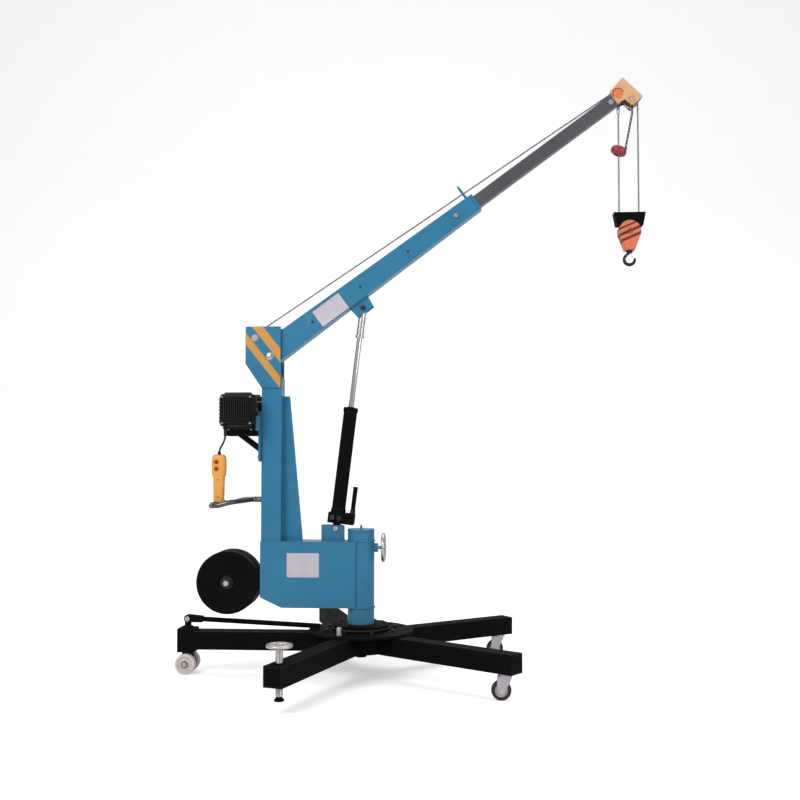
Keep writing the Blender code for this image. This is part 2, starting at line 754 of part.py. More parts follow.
def make_mast_head(upper):
    inner = MAST_SIDE / 2 + GAP
    outer = inner + HEAD_PLATE
    left = BOX_LEFT - HEAD_BACK
    right = BOX_LEFT + HEAD_FRONT
    low = MAST_TOP - HEAD_LAP
    top = MAST_TOP + HEAD_RISE
    bend = low + HEAD_CHAMFER
    cheek = [(left, top), (left, bend), (BOX_LEFT, low), (right, low), (right, top)]
    joins = [
        outline(cheek, (inner, outer)),
        block((left, left + HEAD_PLATE), both(outer - 0.001), (bend + 0.02, top - 0.03)),
    ]
    bolts = (
        ("sheave_bolt", SHEAVE_BOLT_R, (SHEAVE_X, SHEAVE_Z)),
        ("boom_pivot_bolt", PIVOT_BOLT_R, (PIVOT_X, PIVOT_Z)),
    )
    cuts = [bore(radius, both(outer + 0.01), place, "Y") for name, radius, place in bolts]
    piece("mast_head", upper, "blue", outline(cheek, (-outer, -inner)), joins, cuts)
    for name, radius, place in bolts:
        head_from = outer + GAP
        head_to = head_from + BOLT_HEAD
        spans = ((head_from, head_to), (-head_to, -head_from))
        heads = [bar(radius * 1.5, span, place, "Y", 6) for span in spans]
        shank = bar(radius, both(outer + 0.001), place, "Y")
        piece(name, upper, "steel", shank, heads, pivot=(place[0], 0, place[1]))
    axis = frame_at("head_sheave_axis", upper, (SHEAVE_X, 0, SHEAVE_Z))
    make_sheave("head_sheave", axis, SHEAVE_ROPE_R, SHEAVE_BOLT_R, inner - GAP, "black")


def make_sheave(name, frame, rope_r, axle_r, half, colour):
    """A grooved wheel about Y, whose groove just clears the rope, with a hub that fills the width."""
    floor = rope_r - ROPE_R - GAP
    rim = rope_r + ROPE_R
    groove = ROPE_R + 0.002
    face = groove + 0.004
    hole = (axle_r + GAP) / math.cos(math.pi / FINE)
    side = [(hole, half), (floor * 0.85, half), (floor * 0.85, face), (rim, face), (rim, groove)]
    side.append((floor, groove * 0.6))
    profile = side + [(r, -h) for r, h in reversed(side)]
    piece(name, frame, colour, turned(profile, (0, 0, 0), "Y"))


def make_ram_bracket(upper):
    low = BOX_TOP + GAP
    inner = RAM_EYE_HALF + GAP
    outer = inner + BRACKET_PLATE
    pin = (RAM_PIN_X, RAM_PIN_Z)
    left, right = (RAM_PIN_X + edge for edge in BRACKET_SPAN)
    top = RAM_PIN_Z + BRACKET_RISE
    corner = [(right, top - BRACKET_CUT[1]), (right - BRACKET_CUT[0], top)]
    lug = [(left, low), (right, low), *corner, (left, top)]
    slot_low = low + BRACKET_BASE
    cuts = [block((pin[0] - 0.2, pin[0] + 0.2), both(inner), (slot_low, slot_low + 0.2))]
    pin_bar = bar(RAM_PIN_R, both(outer + 0.008), pin, "Y", SMALL)
    piece("ram_bracket", upper, "blue", outline(lug, both(outer)), (), cuts, [pin_bar])


def make_counterweights(upper):
    x = BOX_LEFT - WEIGHTS_BACK
    high = ARM_HIGH / 2
    back = BOX_LEFT - GAP
    reach = x - ARM_PAST
    arm_top, arm_low = WEIGHTS_Z + high, WEIGHTS_Z - high
    arm = [(back, arm_top), (back, arm_low), (reach, arm_low), (reach, arm_top)]
    stack = ARM_HALF + 2 * (DISC_W + GAP) + GAP
    nut = stack + WEIGHT_NUT_W
    place = (x, WEIGHTS_Z)
    joins = [bar(WEIGHT_SHAFT_R, both(nut + 0.012), place, "Y")]
    joins += [bar(WEIGHT_NUT_R, span, place, "Y", 6) for span in ((stack, nut), (-nut, -stack))]
    piece("counterweight_arm", upper, "steel", outline(arm, both(ARM_HALF)), joins)
    hole = (WEIGHT_SHAFT_R + GAP) / math.cos(math.pi / FINE)
    half = DISC_W / 2
    side = [(hole, half), (DISC_R - 0.004, half), (DISC_R, half - 0.004)]
    profile = side + [(r, -h) for r, h in reversed(side)]
    discs = (
        ("counterweight_near_outer", 1, -1),
        ("counterweight_near_inner", 0, -1),
        ("counterweight_far_inner", 0, 1),
        ("counterweight_far_outer", 1, 1),
    )
    for name, step, side_of in discs:
        middle = ARM_HALF + GAP + half + step * (DISC_W + GAP)
        piece(name, upper, "black", turned(profile, (x, side_of * middle, WEIGHTS_Z), "Y", 32))


def make_handle(upper):
    back = BOX_LEFT - GAP
    far = back - HANDLE_REACH
    low = HANDLE_Z - HANDLE_FALL
    side = [
        (back, HANDLE_FOOT, HANDLE_Z),
        (back - 0.030, HANDLE_FOOT, HANDLE_Z),
        (back - 0.052, HANDLE_FOOT + 0.012, HANDLE_Z),
        (back - 0.112, HANDLE_HALF - 0.018, HANDLE_Z - 0.006),
        (back - 0.138, HANDLE_HALF, HANDLE_Z - 0.010),
        (far + 0.040, HANDLE_HALF, low + 0.002),
        (far + 0.012, HANDLE_HALF - 0.012, low),
        (far, HANDLE_HALF - 0.040, low),
    ]
    points = side + [(x, -y, z) for x, y, z in reversed(side)]
    piece("push_handle", upper, "black", wire(points, HANDLE_R, 3))


def make_winch(upper):
    left, right = (BOX_LEFT - reach for reach in WINCH_BACK)
    high = (WINCH_LOW, WINCH_LOW + WINCH_HIGH)
    inner, outer = COVER_Y
    axle = (DRUM_X, DRUM_Z)
    gland = (BOX_LEFT - PENDANT_BACK + GLAND_FRONT, PENDANT_Y)
    joins = [
        block((left, right), (inner, outer), high, 0.022),
        block((left + 0.03, right - 0.03), both(inner + 0.02), (WINCH_LOW, WINCH_LOW + 0.010)),
        bar(MOTOR_R, (outer - 0.01, outer + MOTOR_REACH), axle, "Y"),
        bar(GLAND_R, (WINCH_LOW - GLAND_DROP, WINCH_LOW + 0.03), gland, sides=12),
    ]
    end = inner + 0.012
    cuts = [bore(WINCH_SHAFT_R, both(end), axle, "Y", SMALL)]
    piece("winch_casing", upper, "black", block((left, right), (-outer, -inner), high, 0.022), joins, cuts)
    half = inner - 2 * GAP
    flange = half - 0.004
    tip = end - GAP
    side = [(0, tip), (WINCH_SHAFT_R, tip), (WINCH_SHAFT_R, half), (WINCH_FLANGE_R, half)]
    side.append((WINCH_FLANGE_R, flange))
    side.append((WINCH_DRUM_R, flange))
    profile = side + [(r, -h) for r, h in reversed(side)]
    axis = frame_at("winch_drum_axis", upper, (DRUM_X, 0, DRUM_Z))
    piece("winch_drum", axis, "steel", turned(profile, (0, 0, 0), "Y", ROUND))
    make_winch_shelf(upper, left + 0.004)


def make_winch_shelf(upper, left):
    top = WINCH_LOW - GAP
    rib_low = WINCH_LOW - SHELF_HIGH
    plate_low = WINCH_LOW - WINCH_PLATE_DROP
    back = BOX_LEFT - GAP
    front = back - WINCH_PLATE_THICK
    plate = block((front, back), both(WINCH_PLATE_HALF), (plate_low, WINCH_LOW + WINCH_PLATE_RISE))
    joins = [block((left, front + 0.001), both(SHELF_HALF), (top - SHELF_PLATE, top))]
    for side in (-1, 1):
        y = side * (WINCH_PLATE_HALF - 0.012)
        joins.append(block((left, front + 0.001), (y - 0.004, y + 0.004), (rib_low, top - 0.001)))
        start = (left + 0.072, y, rib_low + 0.010)
        joins.append(tie(BRACE_R, start, (front + 0.006, y, plate_low + 0.055)))
    piece("winch_shelf", upper, "black", plate, joins)


def make_pendant(upper):
    x = BOX_LEFT - PENDANT_BACK
    top = WINCH_LOW - PENDANT_DROP
    start = WINCH_LOW - GLAND_DROP - GAP
    end = top + 3 * GAP
    run = start - end
    route = [
        (x + GLAND_FRONT, PENDANT_Y, start),
        (x + GLAND_FRONT, PENDANT_Y, start - 0.18 * run),
        (x + 0.8 * GLAND_FRONT, PENDANT_Y, start - 0.45 * run),
        (x + 0.2 * GLAND_FRONT, PENDANT_Y, start - 0.75 * run),
        (x, PENDANT_Y, start - 0.9 * run),
        (x, PENDANT_Y, end),
    ]
    piece("pendant_cable", upper, "black", wire(smooth_route(route, 3), CABLE_R))
    wide, slim = PENDANT_HALF
    step = top - PENDANT_HEAD
    low = top - PENDANT_LENGTH
    shape = [(-wide, top), (-wide, step), (-slim, step - 0.012), (0.003 - slim, low)]
    shape += [(-a, z) for a, z in reversed(shape)]
    half = PENDANT_DEPTH / 2
    face = PENDANT_Y - half
    cuts = []
    for name, drop in BUTTON_DROPS.items():
        place = (x - BUTTON_BACK, top - drop)
        depth = BUTTON_SINK + BUTTON_TRAVEL + GAP
        cuts.append(bore(BUTTON_R, (face - 0.01, face + depth), place, "Y", SMALL))
        cap = bar(BUTTON_R, (face - BUTTON_STAND, face + BUTTON_SINK), place, "Y", SMALL)
        piece(name, upper, "crimson", cap, pivot=(place[0], face, place[1]))
    case = outline([(x + a, z) for a, z in shape], (face, PENDANT_Y + half))
    piece("pendant", upper, "amber", case, (), cuts)


def make_ram(upper):
    ram = frame_at("ram_axis", upper, (RAM_PIN_X, 0, RAM_PIN_Z), (0, RAM_TILT, 0))
    root_z = BASE_LOW + 0.004
    eye = [*arc((0, 0), RAM_EYE_R, 180, 360, 10), (RAM_EYE_R, root_z), (-RAM_EYE_R, root_z)]
    joins = [
        block(BASE_SPAN, both(BASE_HALF), (BASE_LOW, BASE_TOP), 0.006),
        outline(eye, both(RAM_EYE_HALF)),
        bar(BARREL_R + 0.003, (BARREL_TOP - BARREL_GLAND, BARREL_TOP)),
    ]
    cuts = [
        bore(ROD_R, (BASE_TOP + 0.02, BARREL_TOP + 0.01)),
        bore(RAM_PIN_R, both(0.05), (0, 0), "Y", SMALL),
    ]
    piece("ram_barrel", ram, "black", bar(BARREL_R, (BASE_TOP - 0.01, BARREL_TOP - 0.002)), joins, cuts)
    sleeve_low = RAM_LENGTH - SLEEVE_LENGTH - ROD_EYE_R
    joins = [
        bar(SLEEVE_R, (sleeve_low, RAM_LENGTH - 0.6 * ROD_EYE_R)),
        bar(SLEEVE_R + 0.004, (sleeve_low, sleeve_low + 0.012)),
        bar(ROD_EYE_R, both(RAM_EYE_HALF), (0, RAM_LENGTH), "Y"),
    ]
    piece("ram_rod", ram, "steel", bar(ROD_R, (ROD_LOW, RAM_LENGTH - 0.002)), joins)
    axis = frame_at("pump_axis", ram, (PUMP_X, 0, BASE_TOP + PUMP_EYE_R + GAP))
    tube = bar(SOCKET_R, (0, SOCKET_LENGTH), sides=SMALL)
    hole = bar(SOCKET_BORE, (0.03, SOCKET_LENGTH + 0.01), sides=SMALL)
    piece("pump_socket", axis, "black", bar(PUMP_EYE_R, both(0.013), (0, 0), "Y"), [tube], [hole])


def tapered(span, half_y, low):
    """A box along X, about the boom's centre line, whose underside is given at each end."""
    shape = block(span, both(half_y), (-1, 1))
    for vertex in shape.data.vertices:
        floor = low[0] if vertex.co.x < sum(span) / 2 else low[1]
        vertex.co.z = floor if vertex.co.z < 0 else 2 * BOOM_CENTRE - floor
    return shape


def make_outer_boom(boom):
    ends = (BOOM_ROOT, BOOM_MOUTH)
    inside = (BOOM_CAVITY_FROM, BOOM_MOUTH - BOOM_COLLAR)
    half = INNER_DEPTH / 2 + 2 * GAP
    mouth = (BOOM_MOUTH - 2 * BOOM_COLLAR, BOOM_MOUTH + 0.01)
    lock = (PIN_HOLE_FIRST + 3 * PIN_HOLE_PITCH, BOOM_CENTRE)
    cuts = [
        tapered(inside, BOOM_HALF - BOOM_WALL, [underside(x) + BOOM_WALL for x in inside]),
        block(mouth, both(INNER_HALF + 2 * GAP), (BOOM_CENTRE - half, BOOM_CENTRE + half)),
        bore(PIVOT_BOLT_R, both(0.1), (0, 0), "Y"),
        bore(LOCK_BOLT_R, (-0.1, 0), lock, "Y", SMALL),
    ]
    for i in range(3):
        cuts.append(bar(PIN_HOLE_R, both(0.1), (PIN_HOLE_FIRST + i * PIN_HOLE_PITCH, BOOM_CENTRE), "Y", 12))
    x = BOOM_MOUTH - GUIDE_BACK
    seat = 2 * BOOM_CENTRE - underside(x) - 0.003
    bow = [(x, y, z) for y, z in arc((0, seat + GUIDE_HEIGHT), GUIDE_HALF, 0, 180, 8)]
    guide = wire([(x, GUIDE_HALF, seat), *bow, (x, -GUIDE_HALF, seat)], GUIDE_WIRE_R)
    shell = tapered(ends, BOOM_HALF, [underside(x) for x in ends])
    piece("outer_boom", boom, "blue", shell, [guide], cuts)
    seat = -BOOM_HALF - GAP
    shank = bar(LOCK_BOLT_R, (seat - 0.002, -INNER_HALF - 0.001), lock, "Y", SMALL)
    head = bar(LOCK_HEAD_R, (seat - 0.010, seat), lock, "Y", 6)
    piece("boom_lock_screw", boom, "steel", head, [shank], pivot=(lock[0], 0, lock[1]))


def make_lug(boom):
    left = LUG_X - LUG_HALF_LENGTH
    right = LUG_X + LUG_HALF_LENGTH
    outer = LUG_INNER + LUG_PLATE
    shape = [(left, underside(left) - GAP), (left + 0.008, underside(left) - LUG_DEPTH)]
    shape += [(right - 0.008, underside(right) - LUG_DEPTH), (right, underside(right) - GAP)]
    slot_top = underside(right) - GAP - LUG_BASE
    cuts = [block((left - 0.05, right + 0.05), both(LUG_INNER), (slot_top - 0.2, slot_top))]
    spans = ((outer - 0.002, outer + 0.008), (-outer - 0.008, 0.002 - outer))
    heads = [bar(LUG_HEAD_R, span, LUG_PIN, "Y", 6) for span in spans]
    piece("boom_lug", boom, "blue", outline(shape, both(outer)), (), cuts, heads)


def make_inner_boom(boom):
    half = INNER_DEPTH / 2
    rear = BOOM_MOUTH - INNER_OVERLAP
    low = BOOM_CENTRE - half
    high = BOOM_CENTRE + half
    wall = INNER_WALL
    cuts = [
        block((rear - 0.01, INNER_TIP + 0.01), both(INNER_HALF - wall), (low + wall, high - wall)),
        bore(TIP_BOLT_R, both(0.1), (INNER_TIP - TIP_BOLT_BACK, BOOM_CENTRE), "Y", SMALL),
    ]
    piece("inner_boom", boom, "grey", block((rear, INNER_TIP), both(INNER_HALF), (low, high)), (), cuts)


def make_boom_head(boom):
    inner = INNER_HALF - INNER_WALL - GAP
    outer = inner + TIP_PLATE
    cheek = [at_tip(offset) for offset in TIP_OUTLINE]
    (x0, z0), (x1, z1), (x2, z2) = cheek[:3]
    mid = ((x0 + x1) / 2, (z0 + z1) / 2 - 2 * GAP)
    skin = TIP_COVER
    cover = [mid, (x1 - 2 * GAP, z1 - 2 * GAP), (x2 - 2 * GAP, z2), (x2 - skin, z2), (x1 - skin, z1 - skin)]
    cover.append((mid[0], mid[1] - skin))
    plug_half = INNER_DEPTH / 2 - INNER_WALL - GAP
    plug_high = (BOOM_CENTRE - plug_half, BOOM_CENTRE + plug_half)
    plug_rise = (plug_high[0] + GAP, plug_high[1] - GAP)
    seat = INNER_TIP + GAP
    bolt = (INNER_TIP - TIP_BOLT_BACK, BOOM_CENTRE)
    head_from = INNER_HALF + GAP
    head_to = head_from + 0.007
    joins = [
        outline(cheek, (inner, outer)),
        outline(cover, both(outer - 0.001)),
        block((seat, INNER_TIP + 0.0112), both(outer - 0.001), plug_high),
        block((INNER_TIP - TIP_PLUG, seat + 0.006), both(inner - GAP), plug_rise),
        bar(TIP_AXLE_R, both(outer + TIP_AXLE_END), TIP_SHEAVE, "Y", 18),
        bar(ANCHOR_R, both(outer - 0.002), ANCHOR, "Y", 10),
        bar(ROLLER_ROPE_R - ROPE_R - GAP, both(inner + 0.002), ROLLER, "Y", 18),
        bar(TIP_BOLT_R, both(head_from + 0.002), bolt, "Y", 10),
    ]
    spans = ((head_from, head_to), (-head_to, -head_from))
    joins += [bar(TIP_BOLT_R * 1.7, span, bolt, "Y", 6) for span in spans]
    piece("boom_head", boom, "peach", outline(cheek, (-outer, -inner)), joins)
    axis = frame_at("tip_sheave_axis", boom, (TIP_SHEAVE[0], 0, TIP_SHEAVE[1]))
    make_sheave("tip_sheave", axis, TIP_ROPE_R, TIP_AXLE_R, inner - GAP, "steel")


def make_ropes(upper, boom, falls):
    wrap = arc((SHEAVE_X, SHEAVE_Z), SHEAVE_ROPE_R, 180, 90 + BOOM_ANGLE, 4)
    short = 4 * GAP
    end = (wrap[-1][0] - short * math.cos(BOOM_TURN), wrap[-1][1] - short * math.sin(BOOM_TURN))
    rising = [
        (DRUM_X + 0.010, ROPE_ENTRY_Z),
        (BOX_LEFT - 0.020, ROPE_ENTRY_Z),
        (BOX_LEFT + 0.018, ROPE_ENTRY_Z + 0.010),
        (BOX_LEFT + 0.034, ROPE_ENTRY_Z + 0.045),
        (BOX_LEFT + 0.022, MAST_TOP),
        (SHEAVE_X - SHEAVE_ROPE_R + 0.003, SHEAVE_Z - 0.034),
        *wrap[:-1],
        end,
    ]
    piece("rope_mast", upper, "rope", wire([(x, 0, z) for x, z in smooth_route(rising, 2)], ROPE_R))
    c = math.cos(BOOM_TURN)
    s = math.sin(BOOM_TURN)
    dx = SHEAVE_X - PIVOT_X
    dz = SHEAVE_Z - PIVOT_Z
    run_x = TIP_SHEAVE[0] - ROLLER[0]
    run_z = TIP_SHEAVE[1] - ROLLER[1]
    leave = math.degrees(math.atan2(run_x, -run_z))
    along = [(c * dx + s * dz, c * dz - s * dx + SHEAVE_ROPE_R)]
    along += arc(ROLLER, ROLLER_ROPE_R, 92, leave, 4)
    along += arc(TIP_SHEAVE, TIP_ROPE_R, leave, -BOOM_ANGLE, 6)
    piece("rope_boom", boom, "rope", wire([(x, 0, z) for x, z in along], ROPE_R))
    hang = (TIP_X, 0, TIP_Z)
    low = BLOCK_Z + GAP
    for name, x, top in (
        ("rope_live_fall", LIVE_FALL_X, TIP_Z - 3 * GAP),
        ("rope_dead_fall", DEAD_FALL_X, ANCHOR_Z - 1.5 * ANCHOR_R),
    ):
        piece(name, falls, "rope", wire([(x, 0, top), (x, 0, low)], ROPE_R), pivot=hang)
    make_limit_weight(falls, hang)


def make_limit_weight(falls, hang):
    half = WEIGHT_H / 2
    profile = [(WEIGHT_BORE, half), (WEIGHT_R, half), (WEIGHT_R, -half), (WEIGHT_BORE, -half)]
    weight = turned(profile)
    tilt = Matrix.Rotation(math.radians(WEIGHT_TILT), 4, "Y")
    centre = Vector((DEAD_FALL_X, 0, TIP_Z - WEIGHT_DROP))
    weight.data.transform(Matrix.Translation(centre) @ tilt)
    eye = centre + tilt @ Vector(((WEIGHT_BORE + WEIGHT_R) / 2, 0, half - 0.006))
    # The chain hangs in front of the end of the tip sheave's axle.
    front = -(INNER_HALF - INNER_WALL - GAP + TIP_PLATE + TIP_AXLE_END + GAP + CHAIN_R)
    top = Vector((TIP_X, front, TIP_Z + CHAIN_R))
    chain = wire([top, top - Vector((0, 0, CHAIN_STRAIGHT)), eye], CHAIN_R)
    piece("limit_weight", falls, "crimson", weight, [chain], pivot=hang)


def make_hook_block(falls):
    middle = (BLOCK_X, BLOCK_Z)
    place = (BLOCK_X, 0, BLOCK_Z)
    low = BLOCK_Z - BLOCK_TAIL
    shape = arc(middle, BLOCK_HALF, -20, 200, 18) + [(BLOCK_X - BLOCK_NECK, low), (BLOCK_X + BLOCK_NECK, low)]
    slot_low = BLOCK_Z - HOOK_SHEAVE_R - ROPE_R - 0.003
    slot = block((BLOCK_X - 0.1, BLOCK_X + 0.1), both(BLOCK_SLOT / 2), (slot_low, BLOCK_Z + 0.1))
    axle = bar(BLOCK_AXLE_R, both(BLOCK_THICK / 2 + 0.004), middle, "Y")
    body = outline(shape, both(BLOCK_THICK / 2))
    piece("block_body", falls, "orange", body, (), [slot], [axle], place)
    slim, wide = COVER_HALF
    bottom = BLOCK_Z + COVER_FROM
    top = BLOCK_Z + COVER_TO
    shell = [(BLOCK_X - slim, bottom), (BLOCK_X + slim, bottom), (BLOCK_X + wide, top), (BLOCK_X - wide, top)]
    room = (BLOCK_X - BLOCK_HALF - 0.002, BLOCK_X + BLOCK_HALF + 0.002)
    cuts = [block(room, both(BLOCK_THICK / 2 + 2 * GAP), (bottom - 0.05, top - COVER_ROOF))]
    for x in (LIVE_FALL_X, DEAD_FALL_X):
        cuts.append(bar(ROPE_R + 0.002, (bottom, top + 0.01), (x, 0), sides=12))
    piece("block_cover", falls, "black", outline(shell, both(COVER_THICK / 2)), (), cuts, pivot=place)
    axis = frame_at("hook_sheave_axis", falls, place)
    make_sheave("hook_sheave", axis, HOOK_SHEAVE_R, BLOCK_AXLE_R, BLOCK_SLOT / 2 - GAP, "steel")
    make_hook(falls, low - GAP)


def make_hook(falls, top):
    centre = (BLOCK_X, top - HOOK_SHANK - HOOK_R)
    neck = centre[1] + HOOK_R + 0.4 * HOOK_SHANK
    lead = [(BLOCK_X, top - 0.002), (BLOCK_X, neck), (BLOCK_X - 0.55 * HOOK_R, centre[1] + 0.9 * HOOK_R)]
    bend = smooth_route(lead + arc(centre, HOOK_R, 160, 360 + HOOK_TIP, 8), 2)
    collar = bar(HOOK_COLLAR_R, (top - HOOK_COLLAR_H, top), (BLOCK_X, 0))
    place = (BLOCK_X, 0, centre[1])
    piece("hook", falls, "black", wire([(x, 0, z) for x, z in bend], HOOK_BAR_R), [collar], pivot=place)
    half = LATCH_THICK / 2
    pin = (BLOCK_X + HOOK_BAR_R + half + GAP, neck + 0.001)
    inner = HOOK_R - HOOK_BAR_R - half - 0.0008
    tip = (BLOCK_X + inner * math.cos(math.radians(25)), centre[1] + inner * math.sin(math.radians(25)))
    shape = [(pin[0] - half, pin[1]), (tip[0] - half, tip[1])]
    shape += [(tip[0] + half, tip[1]), (pin[0] + half, pin[1])]
    piece("hook_latch", falls, "steel", outline(shape, both(LATCH_HALF)), pivot=(pin[0], 0, pin[1]))


def build():
    root = frame_at("crane_frame", None, (FRAME_X, 0, 0))
    make_base(root)
    make_steering(root)
    for name, leg in (("caster_front", "leg_right_front"), ("caster_rear", "leg_right_rear")):
        make_caster(name, leg_end_frame(name, root, leg))
    for name, leg in (("jack_front", "leg_left_front"), ("jack_rear", "leg_left_rear")):
        make_jack(name, leg_end_frame(name, root, leg))
    upper = frame_at("slew_axis", root, (0, 0, 0))
    make_post(upper)
    make_lower_box(upper)
    make_mast(upper)
    make_mast_head(upper)
    make_ram_bracket(upper)
    make_counterweights(upper)
    make_handle(upper)
    make_winch(upper)
    make_pendant(upper)
    make_ram(upper)
    boom = frame_at("luff_axis", upper, (PIVOT_X, 0, PIVOT_Z), (0, -BOOM_TURN, 0))
    make_outer_boom(boom)
    make_lug(boom)
    make_inner_boom(boom)
    make_boom_head(boom)
    falls = frame_at("falls_frame", upper, (0, 0, 0))
    make_ropes(upper, boom, falls)
    make_hook_block(falls)


build()
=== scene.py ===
import bpy
import bmesh
import math
from mathutils import Matrix, Vector


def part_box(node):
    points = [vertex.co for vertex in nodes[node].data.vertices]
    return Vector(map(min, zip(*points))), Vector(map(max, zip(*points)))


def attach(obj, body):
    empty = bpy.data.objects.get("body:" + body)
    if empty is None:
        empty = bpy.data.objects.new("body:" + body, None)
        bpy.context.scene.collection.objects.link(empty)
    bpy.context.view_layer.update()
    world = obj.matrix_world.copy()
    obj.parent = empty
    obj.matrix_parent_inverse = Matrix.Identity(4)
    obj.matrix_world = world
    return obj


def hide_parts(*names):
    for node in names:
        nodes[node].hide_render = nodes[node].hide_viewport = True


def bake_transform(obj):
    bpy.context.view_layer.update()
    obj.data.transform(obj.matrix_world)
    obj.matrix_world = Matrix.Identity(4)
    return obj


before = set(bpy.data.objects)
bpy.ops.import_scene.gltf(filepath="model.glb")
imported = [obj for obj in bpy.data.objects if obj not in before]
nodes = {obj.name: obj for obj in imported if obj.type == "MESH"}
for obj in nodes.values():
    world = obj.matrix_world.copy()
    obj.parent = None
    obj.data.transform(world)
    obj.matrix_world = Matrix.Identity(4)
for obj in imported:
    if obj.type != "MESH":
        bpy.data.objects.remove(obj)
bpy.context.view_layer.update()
scene = bpy.context.scene
scene.view_settings.view_transform = "Standard"
print("frame loaded,", len(nodes), "nodes")

# places shared by several pieces
slewX = -0.247357  # slewing axis
boomAngle = 36.2  # boom above level at rest
boomPivot = Vector((-0.699857, 0, 1.5775))
boomPlace = Matrix.Translation(boomPivot) @ Matrix.Rotation(-math.radians(boomAngle), 4, "Y")
ramFoot = Vector((-0.372357, 0, 0.7205))
ramPlace = Matrix.Translation(ramFoot) @ Matrix.Rotation(math.radians(6.9274), 4, "Y")
tipCentre = Vector((1.103643, 0, 2.855081))
headSheave = Vector((-0.776357, 0, 1.6695))
blockCentre = Vector((1.089357, 0, 2.193081))
tipRopeR, headRopeR, blockRopeR = 0.034, 0.026, 0.04829
near, far = -1, 1
sides = (("near", near), ("far", far))


# camera and light
cameraSet = {"place": (0.267, -5.295, 1.11), "pitch": 2.7, "yaw": 3.46, "lens": 47.75, "sensor": 36}
camera = bpy.data.objects.new("photoCamera", bpy.data.cameras.new("photoCamera"))
camera.data.lens = cameraSet["lens"]
camera.data.sensor_width = cameraSet["sensor"]
camera.data.dof.use_dof = False
camera.location = cameraSet["place"]
camera.rotation_euler = (math.radians(90 + cameraSet["pitch"]), 0, math.radians(cameraSet["yaw"]))
scene.collection.objects.link(camera)
scene.camera = camera

lampSet = {
    "keyLamp": {"place": (-3.2, -4.2, 4.6), "aim": (0, 0, 1.2), "size": 3.2, "power": 205},
    "fillLamp": {"place": (4.2, -3.4, 2.6), "aim": (0, 0, 1.2), "size": 3.0, "power": 85},
    "topLamp": {"place": (0.2, 1.2, 5.2), "aim": (0, 0, 1.0), "size": 3.5, "power": 95},
}
for label, lamp in lampSet.items():
    light = bpy.data.lights.new(label, "AREA")
    light.energy = lamp["power"]
    light.size = lamp["size"]
    holder = bpy.data.objects.new(label, light)
    holder.location = lamp["place"]
    aim = Vector(lamp["aim"]) - Vector(lamp["place"])
    holder.rotation_euler = aim.to_track_quat("-Z", "Y").to_euler()
    scene.collection.objects.link(holder)


# shader helpers
def add(tree, kind, inputs=None, **props):
    node = tree.nodes.new(kind)
    for key, value in props.items():
        setattr(node, key, value)
    for key, value in (inputs or {}).items():
        if isinstance(value, bpy.types.NodeSocket):
            tree.links.new(value, node.inputs[key])
        else:
            node.inputs[key].default_value = value
    return node


def calc(tree, operation, a, b=0.0, clamp=False):
    return add(tree, "ShaderNodeMath", {0: a, 1: b}, operation=operation, use_clamp=clamp).outputs[0]


def vector(tree, operation, a, b, output=0):
    return add(tree, "ShaderNodeVectorMath", {0: a, 1: b}, operation=operation).outputs[output]


def blendColour(tree, factor, a, b):
    mix = add(tree, "ShaderNodeMix", {0: factor}, data_type="RGBA")
    for slot, value in ((6, a), (7, b)):
        if isinstance(value, bpy.types.NodeSocket):
            tree.links.new(value, mix.inputs[slot])
        else:
            mix.inputs[slot].default_value = (*value, 1)
    return mix.outputs[2]


def ramp(tree, value, low, high, toLow=0.0, toHigh=1.0):
    return add(tree, "ShaderNodeMapRange", {0: value, 1: low, 2: high, 3: toLow, 4: toHigh}).outputs[0]


def noise(tree, spot, scale, detail, rough=0.5):
    given = {"Vector": spot, "Scale": scale, "Detail": detail, "Roughness": rough}
    return add(tree, "ShaderNodeTexNoise", given)


def objectSpot(tree):
    return add(tree, "ShaderNodeTexCoord").outputs["Object"]


def newGroup(name, output, **inputs):
    tree = bpy.data.node_groups.new(name, "ShaderNodeTree")
    for label, value in inputs.items():
        kind = "NodeSocketVector" if isinstance(value, tuple) else "NodeSocketFloat"
        tree.interface.new_socket(name=label, in_out="INPUT", socket_type=kind).default_value = value
    tree.interface.new_socket(name=output, in_out="OUTPUT", socket_type="NodeSocketFloat")
    given = tree.nodes.new("NodeGroupInput").outputs
    put = tree.nodes.new("NodeGroupOutput").inputs[output]
    return tree, given, put, objectSpot(tree)


# worn outer edges, broken up by patches
def makeEdgeRub():
    tree, given, put, spot = newGroup("edgeRub", "Mask", Reach=0.004, Patch=40.0, Amount=0.5)
    softened = add(tree, "ShaderNodeBevel", {"Radius": given["Reach"]}, samples=6).outputs[0]
    flat = add(tree, "ShaderNodeNewGeometry").outputs["Normal"]
    bend = calc(tree, "SUBTRACT", 1.0, vector(tree, "DOT_PRODUCT", softened, flat, "Value"))
    patch = noise(tree, spot, given["Patch"], 6.0, 0.7).outputs[0]
    raw = calc(tree, "ADD", calc(tree, "MULTIPLY", bend, 9.0), patch)
    raw = calc(tree, "SUBTRACT", raw, calc(tree, "SUBTRACT", 1.55, given["Amount"]))
    tree.links.new(ramp(tree, raw, 0.0, 0.12), put)
    return tree


# dust that lies more on faces turned up
def makeDustFall():
    tree, given, put, spot = newGroup("dustFall", "Mask", Scale=9.0, Amount=0.3)
    normal = add(tree, "ShaderNodeNewGeometry").outputs["Normal"]
    facing = add(tree, "ShaderNodeSeparateXYZ", {0: normal}).outputs[2]
    cloud = noise(tree, spot, given["Scale"], 8.0, 0.65).outputs[0]
    up = ramp(tree, facing, -0.2, 1.0, 0.15, 1.0)
    film = calc(tree, "MULTIPLY", up, ramp(tree, cloud, 0.35, 0.75))
    tree.links.new(calc(tree, "MULTIPLY", film, given["Amount"], True), put)
    return tree


